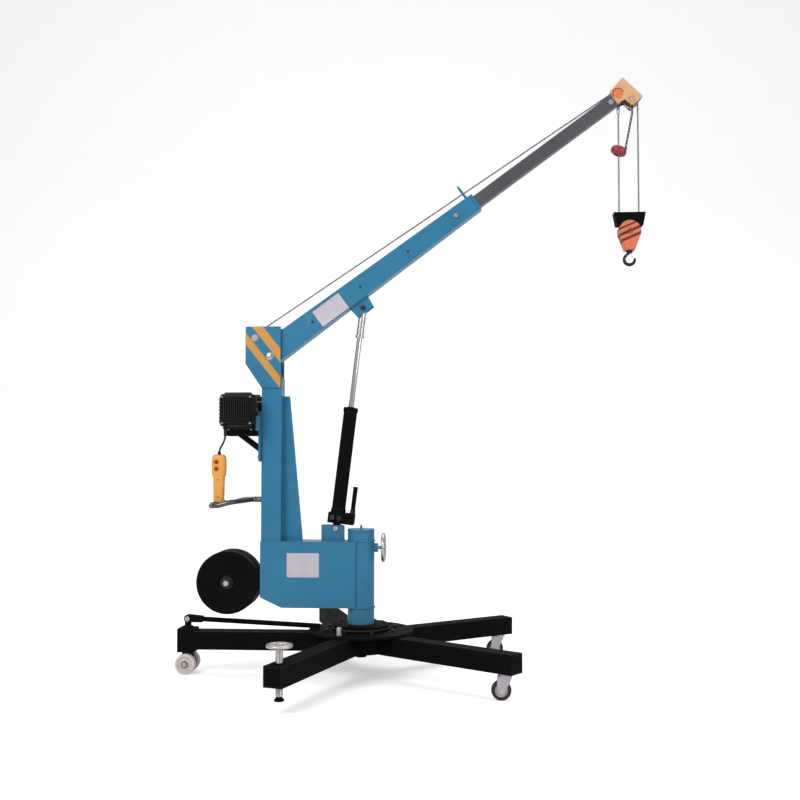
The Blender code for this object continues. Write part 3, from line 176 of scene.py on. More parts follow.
# fine wandering scratches, in places
def makeScratch():
    tree, given, put, spot = newGroup("scratchMarks", "Mask", Scale=14.0, Amount=0.4)
    wander = noise(tree, spot, 3.0, 2.0).outputs["Color"]
    moved = vector(tree, "ADD", spot, vector(tree, "MULTIPLY", wander, (0.35, 0.35, 0.35)))
    cells = add(tree, "ShaderNodeTexVoronoi", {"Vector": moved, "Scale": given["Scale"]},
                feature="DISTANCE_TO_EDGE").outputs[0]
    line = ramp(tree, cells, 0.004, 0.016, 1.0, 0.0)
    where = ramp(tree, noise(tree, spot, 11.0, 4.0).outputs[0], 0.52, 0.66)
    tree.links.new(calc(tree, "MULTIPLY", calc(tree, "MULTIPLY", line, where), given["Amount"]), put)
    return tree


def makeMottle():
    tree, given, put, spot = newGroup("mottle", "Value", Scale=6.0)
    tree.links.new(ramp(tree, noise(tree, spot, given["Scale"], 9.0, 0.6).outputs[0], 0.3, 0.7), put)
    return tree


def makePeel():
    tree, given, put, spot = newGroup("paintPeel", "Height", Scale=260.0)
    tree.links.new(noise(tree, spot, given["Scale"], 3.0).outputs[0], put)
    return tree


def makeBrush():
    tree, given, put, spot = newGroup("brushLines", "Height", Across=(900, 60, 60))
    drawn = vector(tree, "MULTIPLY", spot, given["Across"])
    tree.links.new(noise(tree, drawn, 1.0, 5.0).outputs[0], put)
    return tree


groups = {"edgeRub": makeEdgeRub(), "dustFall": makeDustFall(), "scratchMarks": makeScratch(),
          "mottle": makeMottle(), "paintPeel": makePeel(), "brushLines": makeBrush()}
print("shader groups:", ", ".join(groups))


def use(tree, group, output, **values):
    node = add(tree, "ShaderNodeGroup", node_tree=groups[group])
    for key, value in values.items():
        node.inputs[key].default_value = value
    return node.outputs[output]


def bare(name):
    material = bpy.data.materials.new(name)
    material.use_nodes = True
    return material, material.node_tree, material.node_tree.nodes["Principled BSDF"]


def bump(tree, shader, height, strength, distance):
    lift = add(tree, "ShaderNodeBump", {"Strength": strength, "Distance": distance, "Height": height})
    tree.links.new(lift.outputs[0], shader.inputs["Normal"])


def stripeMask(tree, direction, bands, soft=0.0004):
    across = vector(tree, "DOT_PRODUCT", objectSpot(tree), direction, "Value")
    total = None
    for middle, half in bands:
        away = calc(tree, "ABSOLUTE", calc(tree, "SUBTRACT", across, middle))
        one = ramp(tree, away, half - soft, half + soft, 1.0, 0.0)
        total = one if total is None else calc(tree, "MAXIMUM", total, one)
    return total


# enamel over steel: colour drift, bands, dust, fine scratches, chipped edges, orange peel
def enamel(name, look):
    material, tree, shader = bare(name)
    drift = use(tree, "mottle", "Value", Scale=look.get("drift", 5))
    colour = blendColour(tree, drift, look["shade"], look["colour"])
    if "bands" in look:
        bands = stripeMask(tree, look["across"], look["bands"])
        colour = blendColour(tree, bands, colour, look["bandColour"])
    dust = use(tree, "dustFall", "Mask", Scale=8, Amount=look["dust"])
    colour = blendColour(tree, dust, colour, look.get("dustColour", (0.36, 0.33, 0.3)))
    scratch = use(tree, "scratchMarks", "Mask", Scale=look.get("scratchScale", 14), Amount=look["scratch"])
    colour = blendColour(tree, scratch, colour, look["scratchColour"])
    rub = use(tree, "edgeRub", "Mask", Reach=0.004, Patch=look.get("patch", 45), Amount=look["wear"])
    colour = blendColour(tree, rub, colour, look["under"])
    tree.links.new(colour, shader.inputs["Base Color"])
    rough = ramp(tree, drift, 0.0, 1.0, look["rough"] - 0.05, look["rough"] + 0.06)
    rough = calc(tree, "ADD", rough, calc(tree, "MULTIPLY", dust, 0.35))
    rough = calc(tree, "ADD", rough, calc(tree, "MULTIPLY", scratch, 0.12), True)
    tree.links.new(rough, shader.inputs["Roughness"])
    tree.links.new(calc(tree, "MULTIPLY", rub, 0.55), shader.inputs["Metallic"])
    shader.inputs["Coat Weight"].default_value = look.get("coat", 0.0)
    shader.inputs["Coat Roughness"].default_value = 0.15
    shader.inputs["Specular IOR Level"].default_value = look.get("sheen", 0.5)
    peel = use(tree, "paintPeel", "Height", Scale=look.get("peel", 240))
    height = calc(tree, "SUBTRACT", calc(tree, "MULTIPLY", peel, look.get("peelDepth", 0.4)), rub)
    bump(tree, shader, height, look.get("bump", 0.25), 0.0006)
    return material


# plated or ground steel: drawn lines, tarnish clouds
def plated(name, look):
    material, tree, shader = bare(name)
    cloud = use(tree, "mottle", "Value", Scale=look.get("drift", 26))
    lines = use(tree, "brushLines", "Height", Across=look.get("across", (500, 500, 90)))
    colour = blendColour(tree, cloud, look["shade"], look["colour"])
    dust = use(tree, "dustFall", "Mask", Scale=18, Amount=look.get("dust", 0.12))
    colour = blendColour(tree, dust, colour, (0.24, 0.2, 0.17))
    tree.links.new(colour, shader.inputs["Base Color"])
    rough = ramp(tree, lines, 0.3, 0.7, look["rough"] - 0.06, look["rough"] + 0.08)
    rough = calc(tree, "ADD", rough, calc(tree, "MULTIPLY", dust, 0.4), True)
    tree.links.new(rough, shader.inputs["Roughness"])
    shader.inputs["Metallic"].default_value = 1.0
    bump(tree, shader, lines, look.get("bump", 0.12), 0.0003)
    return material


# moulded plastic or rubber: soft grain, grime, scuffed edges
def moulded(name, look):
    material, tree, shader = bare(name)
    cloud = use(tree, "mottle", "Value", Scale=14)
    colour = blendColour(tree, cloud, look["shade"], look["colour"])
    grime = use(tree, "dustFall", "Mask", Scale=22, Amount=look["grime"])
    colour = blendColour(tree, grime, colour, look.get("grimeColour", (0.12, 0.1, 0.09)))
    scuff = use(tree, "edgeRub", "Mask", Reach=0.003, Patch=70, Amount=look.get("scuff", 0.35))
    colour = blendColour(tree, scuff, colour, look.get("scuffColour", look["shade"]))
    tree.links.new(colour, shader.inputs["Base Color"])
    rough = ramp(tree, cloud, 0.0, 1.0, look["rough"] - 0.06, look["rough"] + 0.07)
    tree.links.new(rough, shader.inputs["Roughness"])
    grain = use(tree, "paintPeel", "Height", Scale=look.get("grain", 900))
    bump(tree, shader, grain, look.get("bump", 0.2), 0.0004)
    return material


blueLook = {
    "colour": (0.022, 0.184, 0.33), "shade": (0.018, 0.162, 0.298), "rough": 0.36, "coat": 0.12,
    "sheen": 0.35, "dust": 0.08, "dustColour": (0.18, 0.28, 0.36), "scratch": 0.4,
    "scratchColour": (0.1, 0.28, 0.44), "wear": 0.46, "under": (0.12, 0.15, 0.17), "patch": 60,
}
blackLook = {
    "colour": (0.0045, 0.0042, 0.0048), "shade": (0.003, 0.0028, 0.0032), "rough": 0.64, "sheen": 0.04,
    "dust": 0.05, "dustColour": (0.04, 0.038, 0.036), "scratch": 0.25,
    "scratchColour": (0.035, 0.035, 0.036), "wear": 0.33, "under": (0.07, 0.065, 0.06),
}
looks = {
    "bluePaint": blueLook,
    "headPaint": {**blueLook, "across": (0.785, 0, 0.62), "bandColour": (0.6, 0.285, 0.052),
        "bands": [(0.471, 0.0215), (0.388, 0.018)]},
    "blackPaint": blackLook,
    "shelfPaint": {**blackLook, "sheen": 0.07, "rough": 0.38, "dust": 0.08, "wear": 0.3,
        "scratchColour": (0.06, 0.06, 0.06), "under": (0.12, 0.11, 0.1), "dustColour": (0.1, 0.095, 0.09),
        "across": (1, 0, 0), "bands": [(-0.7485, 0.0064)], "bandColour": (0.02, 0.17, 0.31)},
    "winchPaint": {"colour": (0.005, 0.0048, 0.0052), "shade": (0.0034, 0.0032, 0.0036), "rough": 0.42,
        "sheen": 0.1, "dust": 0.05, "scratch": 0.15, "wear": 0.3, "scratchColour": (0.05, 0.05, 0.05),
        "under": (0.1, 0.1, 0.1), "peel": 700, "bump": 0.5},
    "discPaint": {**blackLook, "colour": (0.004, 0.0036, 0.0038), "shade": (0.0026, 0.0024, 0.0025),
        "rough": 0.52, "sheen": 0.05, "dust": 0.06, "scratch": 0.15, "wear": 0.36,
        "scratchColour": (0.03, 0.03, 0.03), "under": (0.06, 0.055, 0.05), "peel": 150, "peelDepth": 1.0,
        "bump": 0.45},
    "handlePaint": {"colour": (0.016, 0.011, 0.01), "shade": (0.011, 0.008, 0.007), "rough": 0.16,
        "sheen": 0.9, "coat": 1.0, "dust": 0.04, "scratch": 0.15, "wear": 0.2,
        "scratchColour": (0.06, 0.05, 0.05), "under": (0.2, 0.18, 0.17), "bump": 0.08},
    "slidePaint": {"colour": (0.082, 0.078, 0.092), "shade": (0.06, 0.057, 0.068), "rough": 0.4, "dust": 0.06,
        "scratch": 0.45, "scratchScale": 11, "wear": 0.3, "patch": 20, "scratchColour": (0.2, 0.2, 0.21),
        "under": (0.3, 0.3, 0.31)},
    "peachPaint": {"colour": (0.72, 0.41, 0.21), "shade": (0.66, 0.34, 0.16), "rough": 0.4, "dust": 0.1,
        "scratch": 0.35, "wear": 0.36, "scratchColour": (0.8, 0.6, 0.45), "under": (0.35, 0.22, 0.14)},
    "blockPaint": {"colour": (0.74, 0.185, 0.075), "shade": (0.66, 0.15, 0.06), "rough": 0.38, "dust": 0.12,
        "scratch": 0.4, "wear": 0.42, "scratchColour": (0.8, 0.4, 0.28), "under": (0.16, 0.13, 0.12),
        "across": (-0.4, 0, 0.916), "bandColour": (0.105, 0.014, 0.01),
        "bands": [(1.5742, 0.007), (1.5446, 0.0065), (1.603, 0.0045)]},
    "rollerPaint": {"colour": (0.8, 0.215, 0.07), "shade": (0.7, 0.17, 0.055), "rough": 0.4, "dust": 0.08,
        "scratch": 0.25, "wear": 0.3, "scratchColour": (0.8, 0.45, 0.3), "under": (0.3, 0.16, 0.1)},
    "crimsonPaint": {"colour": (0.33, 0.014, 0.034), "shade": (0.27, 0.01, 0.026), "rough": 0.34,
        "dust": 0.08, "scratch": 0.15, "wear": 0.2, "scratchColour": (0.42, 0.1, 0.12),
        "under": (0.2, 0.16, 0.15)},
}
metals = {
    "zincSteel": {"colour": (0.66, 0.64, 0.63), "shade": (0.5, 0.48, 0.48), "rough": 0.3},
    "wheelSteel": {"colour": (0.7, 0.64, 0.62), "shade": (0.58, 0.52, 0.5), "rough": 0.36},
    "forkSteel": {"colour": (0.6, 0.54, 0.6), "shade": (0.48, 0.43, 0.48), "rough": 0.4},
    "rodChrome": {"colour": (0.74, 0.74, 0.76), "shade": (0.66, 0.66, 0.68), "rough": 0.14,
        "across": (900, 900, 60), "bump": 0.05, "dust": 0.05},
    "ropeSteel": {"colour": (0.3, 0.3, 0.31), "shade": (0.2, 0.2, 0.21), "rough": 0.42, "drift": 60},
    "darkForged": {"colour": (0.06, 0.058, 0.058), "shade": (0.035, 0.034, 0.034), "rough": 0.46, "drift": 40,
        "dust": 0.06},
    "brassNipple": {"colour": (0.6, 0.42, 0.16), "shade": (0.46, 0.3, 0.11), "rough": 0.3},
}
plastics = {
    "whiteNylon": {"colour": (0.68, 0.625, 0.595), "shade": (0.6, 0.545, 0.51), "rough": 0.42, "grime": 0.22,
        "grimeColour": (0.3, 0.26, 0.23), "scuff": 0.45, "scuffColour": (0.42, 0.37, 0.33)},
    "blackRubber": {"colour": (0.018, 0.018, 0.018), "shade": (0.01, 0.01, 0.01), "rough": 0.62, "grime": 0.1,
        "grimeColour": (0.1, 0.09, 0.08)},
    "amberPlastic": {"colour": (0.83, 0.365, 0.065), "shade": (0.76, 0.315, 0.05), "rough": 0.44,
        "grime": 0.1, "grimeColour": (0.3, 0.14, 0.04), "scuff": 0.3},
    "redPlastic": {"colour": (0.25, 0.016, 0.022), "shade": (0.2, 0.011, 0.016), "rough": 0.34,
        "grime": 0.06},
    "plateWhite": {"colour": (0.56, 0.52, 0.57), "shade": (0.5, 0.46, 0.51), "rough": 0.46, "grime": 0.1,
        "grimeColour": (0.42, 0.38, 0.36), "grain": 500, "bump": 0.08},
}
finishes = {name: enamel(name, look) for name, look in looks.items()}
finishes.update({name: plated(name, look) for name, look in metals.items()})
finishes.update({name: moulded(name, look) for name, look in plastics.items()})
print("finishes:", len(finishes))


# mesh helpers, all writing into a bmesh
def skin(bm, rings, closed=False):
    pairs = list(zip(rings, rings[1:])) + ([(rings[-1], rings[0])] if closed else [])
    for a, b in pairs:
        steps = max(len(a), len(b))
        for i in range(steps):
            j = (i + 1) % steps
            loop = [a[0]] if len(a) == 1 else [a[i], a[j]]
            loop += [b[0]] if len(b) == 1 else [b[j], b[i]]
            if len(loop) > 2:
                bm.faces.new(loop)


def cap(bm, rings):
    bm.faces.new(list(reversed(rings[0])))
    bm.faces.new(rings[-1])


def circle(radius, height, count, place=Matrix(), start=0.0, close=False):
    angles = (start + 2 * math.pi * i / count for i in range(count + close))
    return [place @ Vector((radius * math.cos(a), radius * math.sin(a), height)) for a in angles]


def lathe(bm, profile, place=Matrix(), steps=48, closed=False):
    rings = []
    for r, h in profile:
        points = [place @ Vector((0, 0, h))] if r < 1e-6 else circle(r, h, steps, place)
        rings.append([bm.verts.new(p) for p in points])
    skin(bm, rings, closed)


def mirrored(profile):  # carried on to the other face
    return profile + [(r, -h) for r, h in reversed(profile) if h]


def mm(*points):  # points written in millimetres
    return [tuple(value / 1000 for value in point) for point in points]


def disc(radius, low, high):
    return [(0, low), (radius, low), (radius, high), (0, high)]


def upright(x, y=0, z=0):
    return Matrix.Translation((x, y, z))


def axisTo(place, direction):
    return Matrix.Translation(place) @ Vector(direction).to_track_quat("Z", "Y").to_matrix().to_4x4()


def across(middle):
    return axisTo(middle, (0, far, 0))


def nearFace(x, y, z):
    return axisTo((x, y, z), (0, near, 0))


def outward(x, y, z, side):  # out of the near or the far face
    return axisTo((x, side * y, z), (0, side, 0))


def arcPoints(centre, radius, start, end, steps):
    angles = (math.radians(start + (end - start) * i / steps) for i in range(steps + 1))
    return [Vector((centre[0] + radius * math.cos(a), 0, centre[-1] + radius * math.sin(a))) for a in angles]


def flatArc(*arc):
    return [(p.x, p.z) for p in arcPoints(*arc)]


def smoothPath(points, steps=6):  # Catmull-Rom curve through the points
    out = []
    last = len(points) - 1
    for i in range(last):
        p0, p1, p2, p3 = (Vector(points[max(0, min(last, k))]) for k in (i - 1, i, i + 1, i + 2))
        for s in range(steps):
            t = s / steps
            square, cube = 2 * p0 - 5 * p1 + 4 * p2 - p3, 3 * p1 - p0 - 3 * p2 + p3
            out.append(0.5 * (2 * p1 + (p2 - p0) * t + square * t * t + cube * t ** 3))
    return out + [Vector(points[-1])]


def evenly(points, step):
    points = [Vector(p) for p in points]
    lengths = [0.0]
    for a, b in zip(points, points[1:]):
        lengths.append(lengths[-1] + (b - a).length)
    count = max(2, round(lengths[-1] / step))
    out, k = [], 0
    for i in range(count + 1):
        want = lengths[-1] * i / count
        while k < len(points) - 2 and lengths[k + 1] < want:
            k += 1
        span = lengths[k + 1] - lengths[k]
        out.append(points[k].lerp(points[k + 1], (want - lengths[k]) / span if span else 0))
    return out


def crossAxes(path):  # two axes across the path at each point
    last = len(path) - 1
    tangents = [(path[min(i + 1, last)] - path[max(i - 1, 0)]).normalized() for i in range(last + 1)]
    side = tangents[0].orthogonal().normalized()
    axes = []
    for t in tangents:
        side = (side - t * side.dot(t)).normalized()
        axes.append((side, t.cross(side)))
    return axes


def sweep(bm, path, radius, count=14, loop=False):
    path = [Vector(p) for p in path]
    if loop:
        path = path + [path[0]]
    rings = []
    for i, (p, (u, v)) in enumerate(zip(path, crossAxes(path))):
        r = radius(i / (len(path) - 1)) if callable(radius) else radius
        turn = [2 * math.pi * k / count for k in range(count)]
        rings.append([bm.verts.new(p + u * (r * math.cos(a)) + v * (r * math.sin(a))) for a in turn])
    skin(bm, rings)
    if not loop:
        cap(bm, rings)


def slab(bm, outline, low, high, place=Matrix()):
    rings = [[bm.verts.new(place @ Vector((x, y, z))) for x, z in outline] for y in (low, high)]
    skin(bm, rings)
    cap(bm, rings)


def brick(bm, low, high, place=Matrix()):
    (x0, y0, z0), (x1, y1, z1) = low, high
    slab(bm, [(x0, z0), (x1, z0), (x1, z1), (x0, z1)], y0, y1, place)


def hexBolt(bm, place, flats, height, washer=1.0):
    lathe(bm, disc(flats * 0.72 * washer, 0, height * 0.18), place, 28)
    r, low = flats / math.sqrt(3), height * 0.12
    lathe(bm, [(0, low), (r, low), (r, height * 0.88), (r * 0.86, height), (0, height)], place, 6)


def capScrew(bm, place, radius, height):
    lathe(bm, [(radius, 0), (radius, height * 0.9), (radius * 0.9, height), (radius * 0.58, height)], place,
        24)
    lathe(bm, [(radius * 0.58, height), (radius * 0.54, height * 0.45), (0, height * 0.45)], place, 6)


def weld(bm, path, radius):
    path = evenly(path, radius * 0.75)
    count = len(path) - 1

    def bead(t):
        return radius * (0.86 + 0.14 * math.sin(t * count * 2.1) + 0.05 * math.sin(t * count * 0.63))
    sweep(bm, path, bead, 7)


def thread(bm, radius, pitch, low, high, place, depth, steps=18):
    rings = []
    rows = max(2, int((high - low) / pitch * 6))
    for i in range(rows + 1):
        z = low + (high - low) * i / rows
        ring = []
        for k in range(steps):
            a = 2 * math.pi * k / steps
            r = radius - depth * abs(((z / pitch - k / steps) % 1.0) * 2 - 1)
            ring.append(bm.verts.new(place @ Vector((r * math.cos(a), r * math.sin(a), z))))
        rings.append(ring)
    skin(bm, rings)
    cap(bm, rings)


def strands(bm, path, lay=0.052, step=0.0055, radius=0.004, count=6):
    path = evenly(path, step)
    axes = crossAxes(path)
    for s in range(count):
        line, gone = [], 0.0
        for i, (p, (u, v)) in enumerate(zip(path, axes)):
            if i:
                gone += (path[i] - path[i - 1]).length
            a = 2 * math.pi * (s / count + gone / lay)
            line.append(p + u * (radius * 0.64 * math.cos(a)) + v * (radius * 0.64 * math.sin(a)))
        sweep(bm, line, radius * 0.36, 6)


# gives a finished mesh its look and its body, and hides the CAD node it stands for
def keep(name, bm, finish, body=None, bevel=0.0, angle=34, segments=2, node=None):
    bmesh.ops.recalc_face_normals(bm, faces=bm.faces)
    mesh = bpy.data.meshes.new(name)
    bm.to_mesh(mesh)
    bm.free()
    piece = bpy.data.objects.new(name, mesh)
    scene.collection.objects.link(piece)
    mesh.materials.append(finishes[finish])
    mesh.polygons.foreach_set("use_smooth", [True] * len(mesh.polygons))
    if bevel:
        soft = piece.modifiers.new("roundedEdges", "BEVEL")
        soft.width = bevel
        soft.segments = segments
        soft.limit_method = "ANGLE"
        soft.angle_limit = math.radians(angle)
        soft.harden_normals = True
        piece.modifiers.new("evenFaces", "WEIGHTED_NORMAL").keep_sharp = True
    else:
        mesh.set_sharp_from_angle(angle=math.radians(angle))
    if body:
        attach(piece, body)
    if node:
        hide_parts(node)
    return piece


# a piece that is one turned shape
def turned(name, profile, place, steps, finish, body, closed=False, **more):
    bm = bmesh.new()
    lathe(bm, profile, place, steps, closed)
    return keep(name, bm, finish, body, **more)


# wire rope that rides on one body
def roped(name, path, body=None, node=None, **lay):
    bm = bmesh.new()
    strands(bm, path, **lay)
    return keep(name, bm, "ropeSteel", body, angle=60, node=node)


# wire rope from a point on one body to a point on another, left on no body
def stretched(name, root, tip, start, end, path=None, node=None, **lay):
    piece = roped(name, path or [start, end], **lay)
    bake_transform(piece)
    if node:
        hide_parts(node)


# a CAD solid with its edges rounded as a maker would leave them
def eased(node, finish, body, bevel=0.0015, segments=2):
    bm = bmesh.new()
    bm.from_mesh(nodes[node].data)
    bmesh.ops.remove_doubles(bm, verts=bm.verts, dist=0.00002)
    bmesh.ops.dissolve_limit(bm, angle_limit=math.radians(0.6), verts=bm.verts, edges=bm.edges)
    keep(node + ".shown", bm, finish, body, bevel, segments=segments, node=node)


# pendant cable, the one free cord; it runs on inside the case
cableSet = {
    "radius": 0.005, "y": -0.125, "count": 20,
    "route": mm((-907.357, 1210.7), (-907.357, 1188.78), (-913.357, 1155.89), (-931.357, 1119.35),
        (-937.357, 1101.08), (-937.357, 1088.9), (-937.357, 1030), (-937.357, 970)),
}
cablePath = smoothPath([(x, cableSet["y"], z) for x, z in cableSet["route"]])
bm = bmesh.new()
sweep(bm, cablePath, cableSet["radius"], cableSet["count"])
cable = keep("pendantCable", bm, "blackRubber", "upper", angle=60, node="pendant_cable")
print("pendant cable made")

# pendant: a lofted moulding with a parting seam, guards round the buttons and a boot
pendantSet = {
    "x": -0.937357, "y": -0.125, "half": 0.0235, "square": 0.5, "count": 48, "seam": 0.0007,
    "widths": [(0.853, 0.0215, 0.6), (0.857, 0.0245, 0.9), (0.9, 0.0255, 1.0), (0.955, 0.0265, 1.0),
        (0.975, 0.0275, 1.0), (0.986, 0.0315, 1.0), (0.993, 0.0345, 1.0), (1.03, 0.035, 1.0),
        (1.066, 0.0345, 1.0), (1.078, 0.032, 0.93), (1.085, 0.0265, 0.78), (1.0875, 0.02, 0.6)],
    "buttons": {"button_up": 1.052, "button_down": 1.018}, "buttonX": -0.945857, "buttonY": -0.149,
    "guard": mm((9.8, -2), (9.8, 2.5), (11.5, 3.2), (13, 2.2), (13.5, -2)),
    "button": mm((0, -5.5), (8.6, -5.5), (8.8, 3), (8, 5.2), (5.5, 6), (2.2, 5.5), (0, 5.3)),
    "screws": (0.88, 0.965), "screw": mm((0, 0), (3, 0), (3, 0.8), (2.2, 1.2), (0, 1.2)), "bootZ": 1.0875,
    "bootR": 0.0105, "bore": 0.0052, "ribs": 7, "ribStep": 0.0022, "ribFall": 0.0006,
    "gland": mm((5.3, 1206), (8.8, 1206), (9.2, 1212.5), (10.8, 1213), (10.8, 1221.5), (5.3, 1221.5)),
}
pendantX, pendantY = pendantSet["x"], pendantSet["y"]
frontY = pendantY - pendantSet["half"]


def pendantRing(width, depth, z):  # a rectangle with very round corners
    def squared(value, size):
        return size * math.copysign(abs(value) ** pendantSet["square"], value)
    turn = (2 * math.pi * i / pendantSet["count"] for i in range(pendantSet["count"]))
    flat = [(squared(math.cos(a), width), squared(math.sin(a), depth)) for a in turn]
    return [Vector((pendantX + x, pendantY + y, z)) for x, y in flat]


bm = bmesh.new()
rings = []
for z, width, share in pendantSet["widths"]:
    rings.append([bm.verts.new(p) for p in pendantRing(width, pendantSet["half"] * share, z)])
skin(bm, rings)
cap(bm, rings)
pendant = keep("pendantCase", bm, "amberPlastic", "upper", angle=50, node="pendant")
bm = bmesh.new()
for z in pendantSet["buttons"].values():
    lathe(bm, pendantSet["guard"], nearFace(pendantSet["buttonX"], frontY, z), 40)
guards = keep("pendantGuards", bm, "amberPlastic", "upper", angle=40)
bm = bmesh.new()
for side in (near, far):
    seam = [(pendantX + side * (w + 0.0001), pendantY + 0.004, z) for z, w, _ in pendantSet["widths"][1:-1]]
    sweep(bm, seam, pendantSet["seam"], 6)
for z in pendantSet["screws"]:
    lathe(bm, pendantSet["screw"], nearFace(pendantX, frontY - 0.0002, z), 20)
seams = keep("pendantSeams", bm, "blackRubber", "upper")
ribs = []
for i in range(pendantSet["ribs"]):
    z, r = pendantSet["bootZ"] + i * pendantSet["ribStep"], pendantSet["bootR"] - i * pendantSet["ribFall"]
    ribs += [(r, z), (r, z + 0.0012), (r - 0.0014, z + 0.0015)]
ribs = [(pendantSet["bore"], pendantSet["bootZ"] - 0.0005), *ribs, (pendantSet["bore"], ribs[-1][1])]
boot = turned("pendantBoot", ribs, upright(pendantX, pendantY), 28, "blackRubber", "upper")
turned("cableGlandNut", pendantSet["gland"], upright(cablePath[0].x, cablePath[0].y), 6, "blackRubber",
    "upper", bevel=0.0006)
for label, z in pendantSet["buttons"].items():
    place = nearFace(pendantSet["buttonX"], pendantSet["buttonY"], z)
    turned(label + "Cap", pendantSet["button"], place, 40, "redPlastic", label,
                          angle=60, node=label)
print("pendant made")

# base: legs, hub, bearing
legSet = {
    "angles": {"leg_tow": 180, "leg_left_front": 252, "leg_left_rear": 108, "leg_right_front": -36,
        "leg_right_rear": 36},
    "top": 0.2108, "half": 0.039, "plateR": 0.26, "end": 0.9195, "endHeights": (0.1265, 0.2035),
    "rimBead": 0.0042, "endBead": 0.0022,
}
half = legSet["half"]
rim = math.asin(half / legSet["plateR"])
for leg, angle in legSet["angles"].items():
    eased(leg, "blackPaint", "base", 0.0055, 3)
    turn = upright(slewX) @ Matrix.Rotation(math.radians(angle), 4, "Z")
    bm = bmesh.new()
    start = Vector((legSet["plateR"], 0, legSet["top"]))
    swings = [Matrix.Rotation(rim * (i / 8 - 1), 4, "Z") for i in range(17)]
    weld(bm, [turn @ swing @ start for swing in swings], legSet["rimBead"])
    if leg != "leg_tow":  # end plate let into the tube, welded round
        for y in (-half, half):
            weld(bm, [turn @ Vector((legSet["end"], y, z)) for z in legSet["endHeights"]], legSet["endBead"])
        for z in legSet["endHeights"]:
            weld(bm, [turn @ Vector((legSet["end"], y, z)) for y in (-half, half)], legSet["endBead"])
    keep(leg + "Welds", bm, "blackPaint", "base", angle=60)
eased("base_hub", "blackPaint", "base", 0.0025, 3)
eased("slew_bearing", "blackPaint", "base", 0.0025, 3)
bearingSet = {
    "boltR": 0.178, "boltZ": 0.2223, "screwR": 0.118, "screwZ": 0.2506,
    "seal": mm((140.2, 230), (142.8, 230.4), (143.6, 233.5), (142.8, 236.6), (140.2, 237)),
    "stopAt": (slewX - 0.086, -0.195, 0.2215),
    "stop": mm((0, 0.5), (14.5, 0.5), (14.5, 6), (13, 8), (13, 36.5), (11.2, 39.5), (0, 39.7)),
}
bm = bmesh.new()
for spot in circle(bearingSet["boltR"], bearingSet["boltZ"], 8, upright(slewX), math.radians(22.5)):
    hexBolt(bm, upright(*spot), 0.019, 0.011)
for spot in circle(bearingSet["screwR"], bearingSet["screwZ"], 12, upright(slewX)):
    capScrew(bm, upright(*spot), 0.0065, 0.0065)
keep("bearingBolts", bm, "darkForged", "base", angle=30)
turned("bearingSeal", bearingSet["seal"], upright(slewX), 96, "blackRubber", "base", angle=60)
turned("stopPin", bearingSet["stop"], upright(*bearingSet["stopAt"]), 32, "zincSteel", "base", angle=30)
print("base made")

# steered tow wheels and tow bar
steerSet = {
    "x": -1.117357, "z": 0.05, "y": 0.048, "radius": 0.05, "half": 0.0175, "bore": 0.0106, "towZ": 0.268,
    "bearing": mm((10.8, 0), (17.5, 0), (17.5, 4.8), (16.5, 5.6), (14.5, 5.6), (13.5, 4.6), (10.8, 4.6)),
    "pin": mm((0, 0), (12.5, 0), (12.5, 1.8), (9.8, 2.2), (9.8, 5), (8.5, 6), (0, 6)), "clipY": -0.029,
    "clip": mm((0, 14), (0, -12), (3, -17)),
}
steerX, steerZ, r, h = (steerSet[key] for key in ("x", "z", "radius", "half"))
wheelSide = [(steerSet["bore"], h * 0.96), (r * 0.36, h * 0.96), (r * 0.4, h * 0.8), (r * 0.44, h * 0.62),
             (r * 0.7, h * 0.62), (r * 0.76, h * 0.95), (r * 0.9, h * 0.98), (r * 0.965, h * 0.9),
             (r * 0.99, h * 0.74), (r, h * 0.5)]
eased("steer_spindle", "blackPaint", "steer", 0.0012)
for label, side in sides:
    body = "steer_wheel_" + label
    middle = Vector((steerX, side * steerSet["y"], steerZ))
    turned("steerWheel." + label, mirrored(wheelSide), across(middle), 72, "whiteNylon", body, True,
           angle=28, node=body)
    bm = bmesh.new()
    for way in (near, far):
        lathe(bm, steerSet["bearing"], axisTo(middle + Vector((0, way * h * 0.7, 0)), (0, way, 0)), 48)
    keep("steerBearing." + label, bm, "blackRubber", body)
    bm = bmesh.new()
    lathe(bm, disc(0.0138, 0, 0.0016), outward(steerX, 0.0666, steerZ, side), 32)
    hexBolt(bm, outward(steerX, 0.068, steerZ, side), 0.017, 0.009, 0.9)
    keep("steerNut." + label, bm, "zincSteel", "steer", angle=30)
eased("tow_bar", "blackPaint", "tow_bar", 0.0012)
bm = bmesh.new()
for side in (near, far):
    lathe(bm, steerSet["pin"], outward(steerX, 0.0207, steerSet["towZ"], side), 28)
sweep(bm, [(steerX + x, steerSet["clipY"], steerSet["towZ"] + z) for x, z in steerSet["clip"]], 0.0014, 8)
keep("towPin", bm, "zincSteel", "steer", angle=30)
print("steering made")

# casters
casterSet = {
    "x": 0.448397, "rows": {"front": -0.505495, "rear": 0.505495}, "trail": 0.02, "axleZ": 0.045,
    "cheek": 0.0176, "plate": 0.004,
    "crown": mm((0, 119.5), (35, 119.5), (36, 118.5), (36, 116), (33, 115), (34.5, 113), (34, 110),
        (30, 107.5), (0, 107)),
    "tread": mm((29, 15), (33, 16.2), (40, 16), (43.2, 14), (44.6, 10), (45, 4)),
    "hub": mm((6.6, 16.8), (12.5, 16.8), (13.5, 15), (15, 9.5), (24, 8.5), (26.2, 13.5), (29.2, 14)),
}
x, axleZ, inner = casterSet["x"], casterSet["axleZ"], casterSet["cheek"]
axleX, outer = x - casterSet["trail"], inner + casterSet["plate"]
cheek = [(x + 0.026, 0.1125), (x - 0.03, 0.1125), (x - 0.037, 0.106),
         *flatArc((axleX, axleZ), 0.021, 178, 372, 18), (x + 0.012, 0.07), (x + 0.026, 0.1)]
